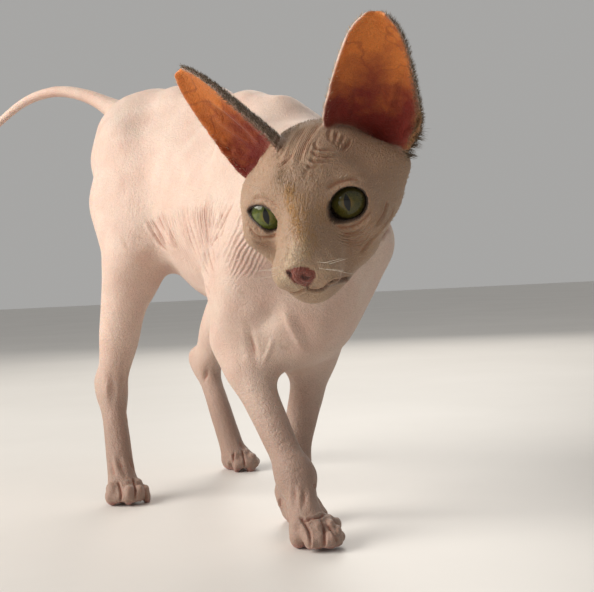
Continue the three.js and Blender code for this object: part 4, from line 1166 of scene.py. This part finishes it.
def eye_material(side):
    material, tree, place = new_material(f"{side} eye")
    centre = tuple(middle_of(f"eye_{side}"))
    moved = put_node(
        tree, "ShaderNodeVectorMath", {0: place, 1: centre}, operation="SUBTRACT"
    ).outputs[0]
    turned_back = tuple(Matrix(eye_axes(side).T).to_euler())
    inputs = {"Vector": moved, "Rotation": turned_back, "Scale": (1000, 1000, 1000)}
    local = put_node(tree, "ShaderNodeMapping", inputs).outputs["Vector"]
    parts = put_node(tree, "ShaderNodeSeparateXYZ", {"Vector": local}).outputs
    flat = put_node(tree, "ShaderNodeCombineXYZ", {"X": parts["X"], "Y": parts["Y"]}).outputs[0]
    reach = put_node(
        tree, "ShaderNodeVectorMath", {0: flat}, operation="LENGTH"
    ).outputs["Value"]
    angle = sums(tree, "ARCTAN2", parts["Y"], parts["X"])
    inputs = {"X": times(tree, angle, 5.0), "Y": times(tree, reach, 0.35)}
    spokes = put_node(tree, "ShaderNodeCombineXYZ", inputs).outputs[0]
    rays = stretched(tree, noise(tree, spokes, 3.2, 4.0, 0.65, 0.4), 0.34, 0.66)
    cloud = stretched(tree, noise(tree, local, 0.55, 2.0), 0.3, 0.7)
    green = layered(tree, IRIS_DARK, [
        (rays, IRIS_GREEN),
        (times(tree, cloud, 0.45), IRIS_CLOUD),
        (times(tree, stretched(tree, reach, 3.2, 1.3), 0.6), IRIS_RING),
        # Painted shadow of the upper lid over the top of the iris.
        (times(tree, stretched(tree, parts["Y"], 1.0, 6.0), 0.75), IRIS_LID_SHADOW),
    ])
    # Painted shade over the whole iris.
    green = mixed(tree, 1.0, green, IRIS_PAINTED_SHADE[side], "MULTIPLY")
    tall = sums(tree, "POWER", sums(tree, "DIVIDE", parts["Y"], PUPIL_HALF_HEIGHT), 2.0)
    slit = sums(tree, "DIVIDE", sums(tree, "ABSOLUTE", parts["X"]), PUPIL_HALF_WIDTH)
    colour = layered(tree, green, [
        (stretched(tree, reach, IRIS_RADIUS - 1.3, IRIS_RADIUS), IRIS_EDGE),
        (stretched(tree, sums(tree, "ADD", slit, tall), 1.12, 0.88), PUPIL_BLACK),
    ])
    fill_shader(tree, {
        "Base Color": colour,
        "Normal": bumped(tree, rays, 0.25, 0.0004),
        "Roughness": 0.35,
        "Specular IOR Level": 0.0,
        "Coat Weight": 1.0,
        "Coat Roughness": 0.02,
        "Coat IOR": 1.45,
    })
    return material


def eyeball(side):
    centre, radius = eye_ball(side)
    axes = eye_axes(side)
    ball = bmesh.new()
    bmesh.ops.create_uvsphere(ball, u_segments=72, v_segments=48, radius=radius)
    for vert in ball.verts:
        ahead = max(0.0, vert.co.z / radius)
        bulge = CORNEA_RISE * ramp(np.array(ahead), 0.72, 1.0)
        vert.co = Vector(centre + axes @ np.array(vert.co * (1 + bulge / radius)))
    made = from_bmesh(f"eyeball_{side}", ball)
    shade_smooth(made)
    made.data.materials.append(eye_material(side))
    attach(made, "root")
    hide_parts(f"eye_{side}")


for side in ("left", "right"):
    eyeball(side)

# The down. Short soft hairs stand on the bridge of the nose, the brow, the muzzle and the ears,
# densest along the ear edges, with a few dark longer tufts at the outer root of the left ear.
DOWN_COUNT = 9000
DOWN_WIDTH = 0.22 * MM
TUFT_PATCH = 0.003  # the width of each tuft's patch in the bake map
LONG_TUFTS = [(416, 131), (419, 138), (421, 145), (418, 151), (412, 155)]
LONG_TUFT_HAIRS = 26

single_hair = bmesh.new()
bmesh.ops.create_cone(
    single_hair, segments=3, cap_ends=True, cap_tris=True, radius1=0.5, radius2=0, depth=1,
    matrix=Matrix.Translation((0, 0, 0.5)),
)
bmesh.ops.remove_doubles(single_hair, verts=single_hair.verts, dist=1e-6)
bmesh.ops.triangulate(single_hair, faces=single_hair.faces)
bmesh.ops.recalc_face_normals(single_hair, faces=single_hair.faces)
single_hair.verts.index_update()
hair_points = np.array([vert.co for vert in single_hair.verts])
hair_faces = np.array([[vert.index for vert in face.verts] for face in single_hair.faces])
single_hair.free()


def unwrapped(roots, nodes):
    """A flat map of the skin: the head round its middle, and the two faces of each ear."""
    local = (roots - head_centre) @ head_axes
    around = np.arctan2(local[:, 0], -local[:, 1]) / (2 * math.pi) + 0.5
    upward = np.arcsin(local[:, 2] / np.linalg.norm(local, axis=1)) / math.pi + 0.5
    flat = np.stack([0.01 + 0.46 * around, 0.01 + 0.97 * upward], axis=1)
    for side, first in (("left", 0.5), ("right", 0.75)):
        ear = EARS[side]
        local = (roots - ear_base(ear)) @ ear_axes(ear)
        height = np.clip(local[:, 2] / EAR_LENGTH, 0, 1)
        across = np.clip(local[:, 0] / ear_half_width(height), -1, 1)
        behind = local[:, 1] > ear_depth(height) * np.sqrt(1 - across**2) - EAR_THICKNESS / 2
        column = first + 0.01 + 0.11 * (across + 1) / 2 + 0.12 * behind
        mine = nodes == f"ear_{side}"
        flat[mine] = np.stack([column, 0.01 + 0.97 * height], axis=1)[mine]
    return flat


def hairs(name, roots, ways, lengths, widths, tones, nodes):
    """One mesh of many thin cones, each with its tone and its own patch in the bake map."""
    side = unit(np.cross(ways, rng.normal(size=ways.shape)))
    other = np.cross(ways, side)
    parts = zip((side, other, ways), hair_points.T, (widths, widths, lengths))
    corners = roots[:, None] + sum(
        axis[:, None] * (reach[None] * size[:, None])[..., None] for axis, reach, size in parts
    )
    first = np.arange(len(roots)) * len(hair_points)
    faces = (first[:, None, None] + hair_faces).reshape(-1, 3)
    mesh = bpy.data.meshes.new(name)
    mesh.from_pydata(corners.reshape(-1, 3).tolist(), [], faces.tolist())
    middle = unwrapped(roots, nodes)
    spread = hair_points[hair_faces.ravel()][:, :2] * TUFT_PATCH
    bake_map = mesh.uv_layers.new(name="OFBake")
    bake_map.data.foreach_set("uv", (middle[:, None] + spread).astype(np.float32).ravel())
    tone = mesh.attributes.new("tone", "FLOAT_COLOR", "POINT")
    tone.data.foreach_set("color", np.repeat(tones, len(hair_points), 0).astype(np.float32).ravel())
    return link_mesh(name, mesh)


skin.data.calc_loop_triangles()
triangles = numbers_of(skin.data.loop_triangles, "vertices", 3, np.int32)
corners = places[triangles]
sides = corners[:, 1:] - corners[:, :1]
areas = np.linalg.norm(np.cross(sides[:, 0], sides[:, 1]), axis=1)
hairy = most(dark_down_and_crown_shade, 0.9 * tan_down, 0.8 * pale_down) * (1 - nose) * (1 - lid_rim_and_hollow_shade)
hairy = hairy * (1 - 0.93 * ear_inside * (1 - ear_rim)) + 1.5 * ear_rim + 0.9 * pale_rim
chance = areas * (hairy[triangles].min(1) ** 1.5)
chosen = rng.choice(len(triangles), DOWN_COUNT, p=chance / chance.sum())
shares = rng.dirichlet((1, 1, 1), DOWN_COUNT)[..., None]
roots = (corners[chosen] * shares).sum(1)


def over(values):
    """Values of the skin's corners, at the roots of the hairs."""
    return (values[triangles[chosen]] * (shares if values.ndim == 2 else shares[..., 0])).sum(1)


root_normals = over(normals)
rims = over(most(ear_rim, 0.6 * pale_rim))[:, None]
root_nodes = region[triangles[chosen, 0]]
flow = roots - nose_place
for side, ear in EARS.items():
    mine = root_nodes == f"ear_{side}"
    outwards = (roots - ear_base(ear)) @ ear_axes(ear)[:, 0] / EAR_HALF_WIDTH
    flow[mine] = ear_axes(ear)[:, 2] + outwards[mine, None] * ear_axes(ear)[:, 0]
flow -= (flow * root_normals).sum(1, keepdims=True) * root_normals
flow = unit(flow)
lift = rng.uniform(0.3, 0.65, (DOWN_COUNT, 1)) + 0.3 * rims
ways = flow * np.cos(lift) + root_normals * np.sin(lift) + rng.normal(0, 0.16, flow.shape)
ways = unit(ways)
from_nose = np.linalg.norm(roots - nose_place, axis=1) / MM
lengths = 0.8 + 0.6 * ramp(from_nose, 5, 40) + 0.7 * rims[:, 0]
lengths = lengths * rng.uniform(0.7, 1.3, DOWN_COUNT)
# The hairs' dark tone follows the dark down and its painted shade at the crown.
tones = np.stack(
    [over(dark_down_and_crown_shade), over(tan_down), rng.uniform(0, 1, DOWN_COUNT), np.ones(DOWN_COUNT)], axis=1
)
down_piece = hairs(
    "down", roots, ways, lengths * MM, np.full(DOWN_COUNT, DOWN_WIDTH), tones, root_nodes
)


def first_seen(pixel):
    """The place on the skin at a pixel, or else at the nearest one to its left."""
    for shift in range(20):
        place, normal = on_skin((pixel[0] - shift, pixel[1]))
        if place is not None:
            return place, normal


long_roots, long_ways = [], []
for pixel in LONG_TUFTS:
    place, normal = first_seen(pixel)
    outwards = ear_axes(EARS["left"])[:, 0] * 1.3 - ear_axes(EARS["left"])[:, 2] * 0.35
    for _ in range(LONG_TUFT_HAIRS):
        near = np.array(place) + rng.normal(0, 1.0, 3) * MM
        near = np.array(skin_tree.find_nearest(Vector(near))[0])
        way = outwards + np.array(normal) * 0.25 + rng.normal(0, 0.22, 3)
        long_roots.append(near)
        long_ways.append(unit(way))
count = len(long_roots)
long_tones = np.tile([1.0, 0.2, 0.4, 1.0], (count, 1))
long_tones[:, 2] = rng.uniform(0, 1, count)
tuft_piece = hairs(
    "ear_tufts", np.array(long_roots), np.array(long_ways), rng.uniform(3.0, 5.5, count) * MM,
    np.full(count, 0.3 * MM), long_tones, np.full(count, "ear_left"),
)
down_material, tree, place = new_material("down")
tone = masks_of(tree, "tone")
colour = layered(tree, (0.50, 0.37, 0.25, 1), [
    (tone["Blue"], (0.66, 0.53, 0.38, 1)),
    (tone["Green"], (0.40, 0.22, 0.075, 1)),
    (times(tree, tone["Red"], 0.9), (0.085, 0.058, 0.038, 1)),
])
streak = stretched(tree, noise(tree, place, 2400, 2.0), 0.3, 0.7)
streaks = sums(tree, "MULTIPLY_ADD", streak, 0.4, 0.75)
fill_shader(tree, {
    "Base Color": mixed(tree, 1.0, colour, streaks, "MULTIPLY"),
    "Roughness": sums(tree, "MULTIPLY_ADD", streak, 0.2, 0.45),
    "Specular IOR Level": 0.3,
})
for piece in (down_piece, tuft_piece):
    piece.data.materials.append(down_material)
    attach(piece, "root")

# The whiskers. A sphynx has only a few, short, thin and often bent, in two rows on each side of
# the muzzle and two over each eye. Each is a single pale hair that grows out of the skin.
BROW_WHISKER_ROOTS = [(339, 178), (344, 177)]
WHISKER_WIDTH = 0.16 * MM


def whisker(shape, root, way, length, bend):
    """A thin hair of eight short rings that bends as it grows, and ends in a point."""
    axis = Vector(way).to_track_quat("Z", "Y").to_matrix().to_4x4()
    older = len(shape.verts)
    hair = bmesh.ops.create_cone(
        shape, segments=5, cap_ends=True, radius1=WHISKER_WIDTH / 2, radius2=0.02 * MM,
        depth=1, matrix=Matrix.Translation((0, 0, 0.5)),
    )["verts"]
    sides = {e for v in hair for e in v.link_edges if abs(e.verts[0].co.z - e.verts[1].co.z) > 0.5}
    bmesh.ops.subdivide_edges(shape, edges=list(sides), cuts=7)
    for vert in list(shape.verts)[older:]:
        along = vert.co.z
        vert.co.x += bend * length * along**2
        vert.co.z = along * length * (1 - 0.3 * abs(bend) * along) - 0.6 * MM
        vert.co = Matrix.Translation(root) @ axis @ vert.co


whiskers = bmesh.new()
head_across = head_axes[:, 0]
for pixel in WHISKER_ROOTS + BROW_WHISKER_ROOTS:
    place, normal = on_skin(pixel)
    brow = pixel in BROW_WHISKER_ROOTS
    for mirrored in (False, True):
        if mirrored:
            turned, turned_normal = other_side(np.array([place]), head_centre, head_across)
            place, normal = Vector(turned[0]), Vector(turned_normal[0])
        outwards = head_across * (-1 if mirrored else 1)
        way = outwards * 0.9 + np.array(normal) * 0.7 - head_axes[:, 2] * (-0.8 if brow else 0.25)
        way = way + rng.normal(0, 0.12, 3)
        length = (7 if brow else 11) * rng.uniform(0.5, 1.2) * MM
        whisker(whiskers, place, way, length, rng.uniform(-0.35, 0.35))
bmesh.ops.recalc_face_normals(whiskers, faces=whiskers.faces)
whisker_piece = from_bmesh("whiskers", whiskers)
shade_smooth(whisker_piece)
whisker_material, tree, place = new_material("whisker")
shine = stretched(tree, noise(tree, place, 900, 2.0), 0.3, 0.7)
colour = mixed(tree, shine, (0.62, 0.53, 0.42, 1), (0.80, 0.74, 0.64, 1))
fill_shader(tree, {"Base Color": colour, "Roughness": 0.35})
whisker_piece.data.materials.append(whisker_material)
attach(whisker_piece, "root")

# The floor. The cat stands on a plain pale floor, in the soft light of a studio.
floor_shape = bmesh.new()
bmesh.ops.create_grid(floor_shape, x_segments=1, y_segments=1, size=12)
floor = from_bmesh("floor", floor_shape)
floor_material, tree, place = new_material("pale floor")
grain = stretched(tree, noise(tree, place, 3.0, 5.0, 0.6), 0.3, 0.7)
colour = mixed(tree, grain, (0.68, 0.655, 0.62, 1), (0.73, 0.705, 0.67, 1))
fill_shader(tree, {"Base Color": colour, "Roughness": 0.5})
floor.data.materials.append(floor_material)


def softbox(name, place, size, power, colour, aim):
    """A large square lamp at a place, turned to a point."""
    lamp = bpy.data.lights.new(name, "AREA")
    lamp.size = size
    lamp.energy = power
    lamp.color = colour
    holder = bpy.data.objects.new(name, lamp)
    holder.location = place
    holder.rotation_euler = (Vector(aim) - Vector(place)).to_track_quat("-Z", "Y").to_euler()
    bpy.context.collection.objects.link(holder)


CHEST = (0.02, -0.1, 0.15)
LAMPS = [
    ("window light", (-1.3, 0.5, 1.0), 0.9, 24, (1.0, 0.96, 0.90)),
    ("side light", (-1.5, -0.25, 0.8), 0.8, 12, (1.0, 0.96, 0.91)),
    ("rim light", (0.9, 1.2, 0.9), 0.8, 9, (1.0, 0.95, 0.88)),
]
for lamp in LAMPS:
    softbox(*lamp, CHEST)

world = bpy.data.worlds.new("studio")
world.use_nodes = True
background = world.node_tree.nodes["Background"]
fill(world.node_tree, background, {"Color": (0.90, 0.89, 0.87, 1), "Strength": 0.43})
bpy.context.scene.world = world
bpy.context.scene.view_settings.view_transform = "Standard"
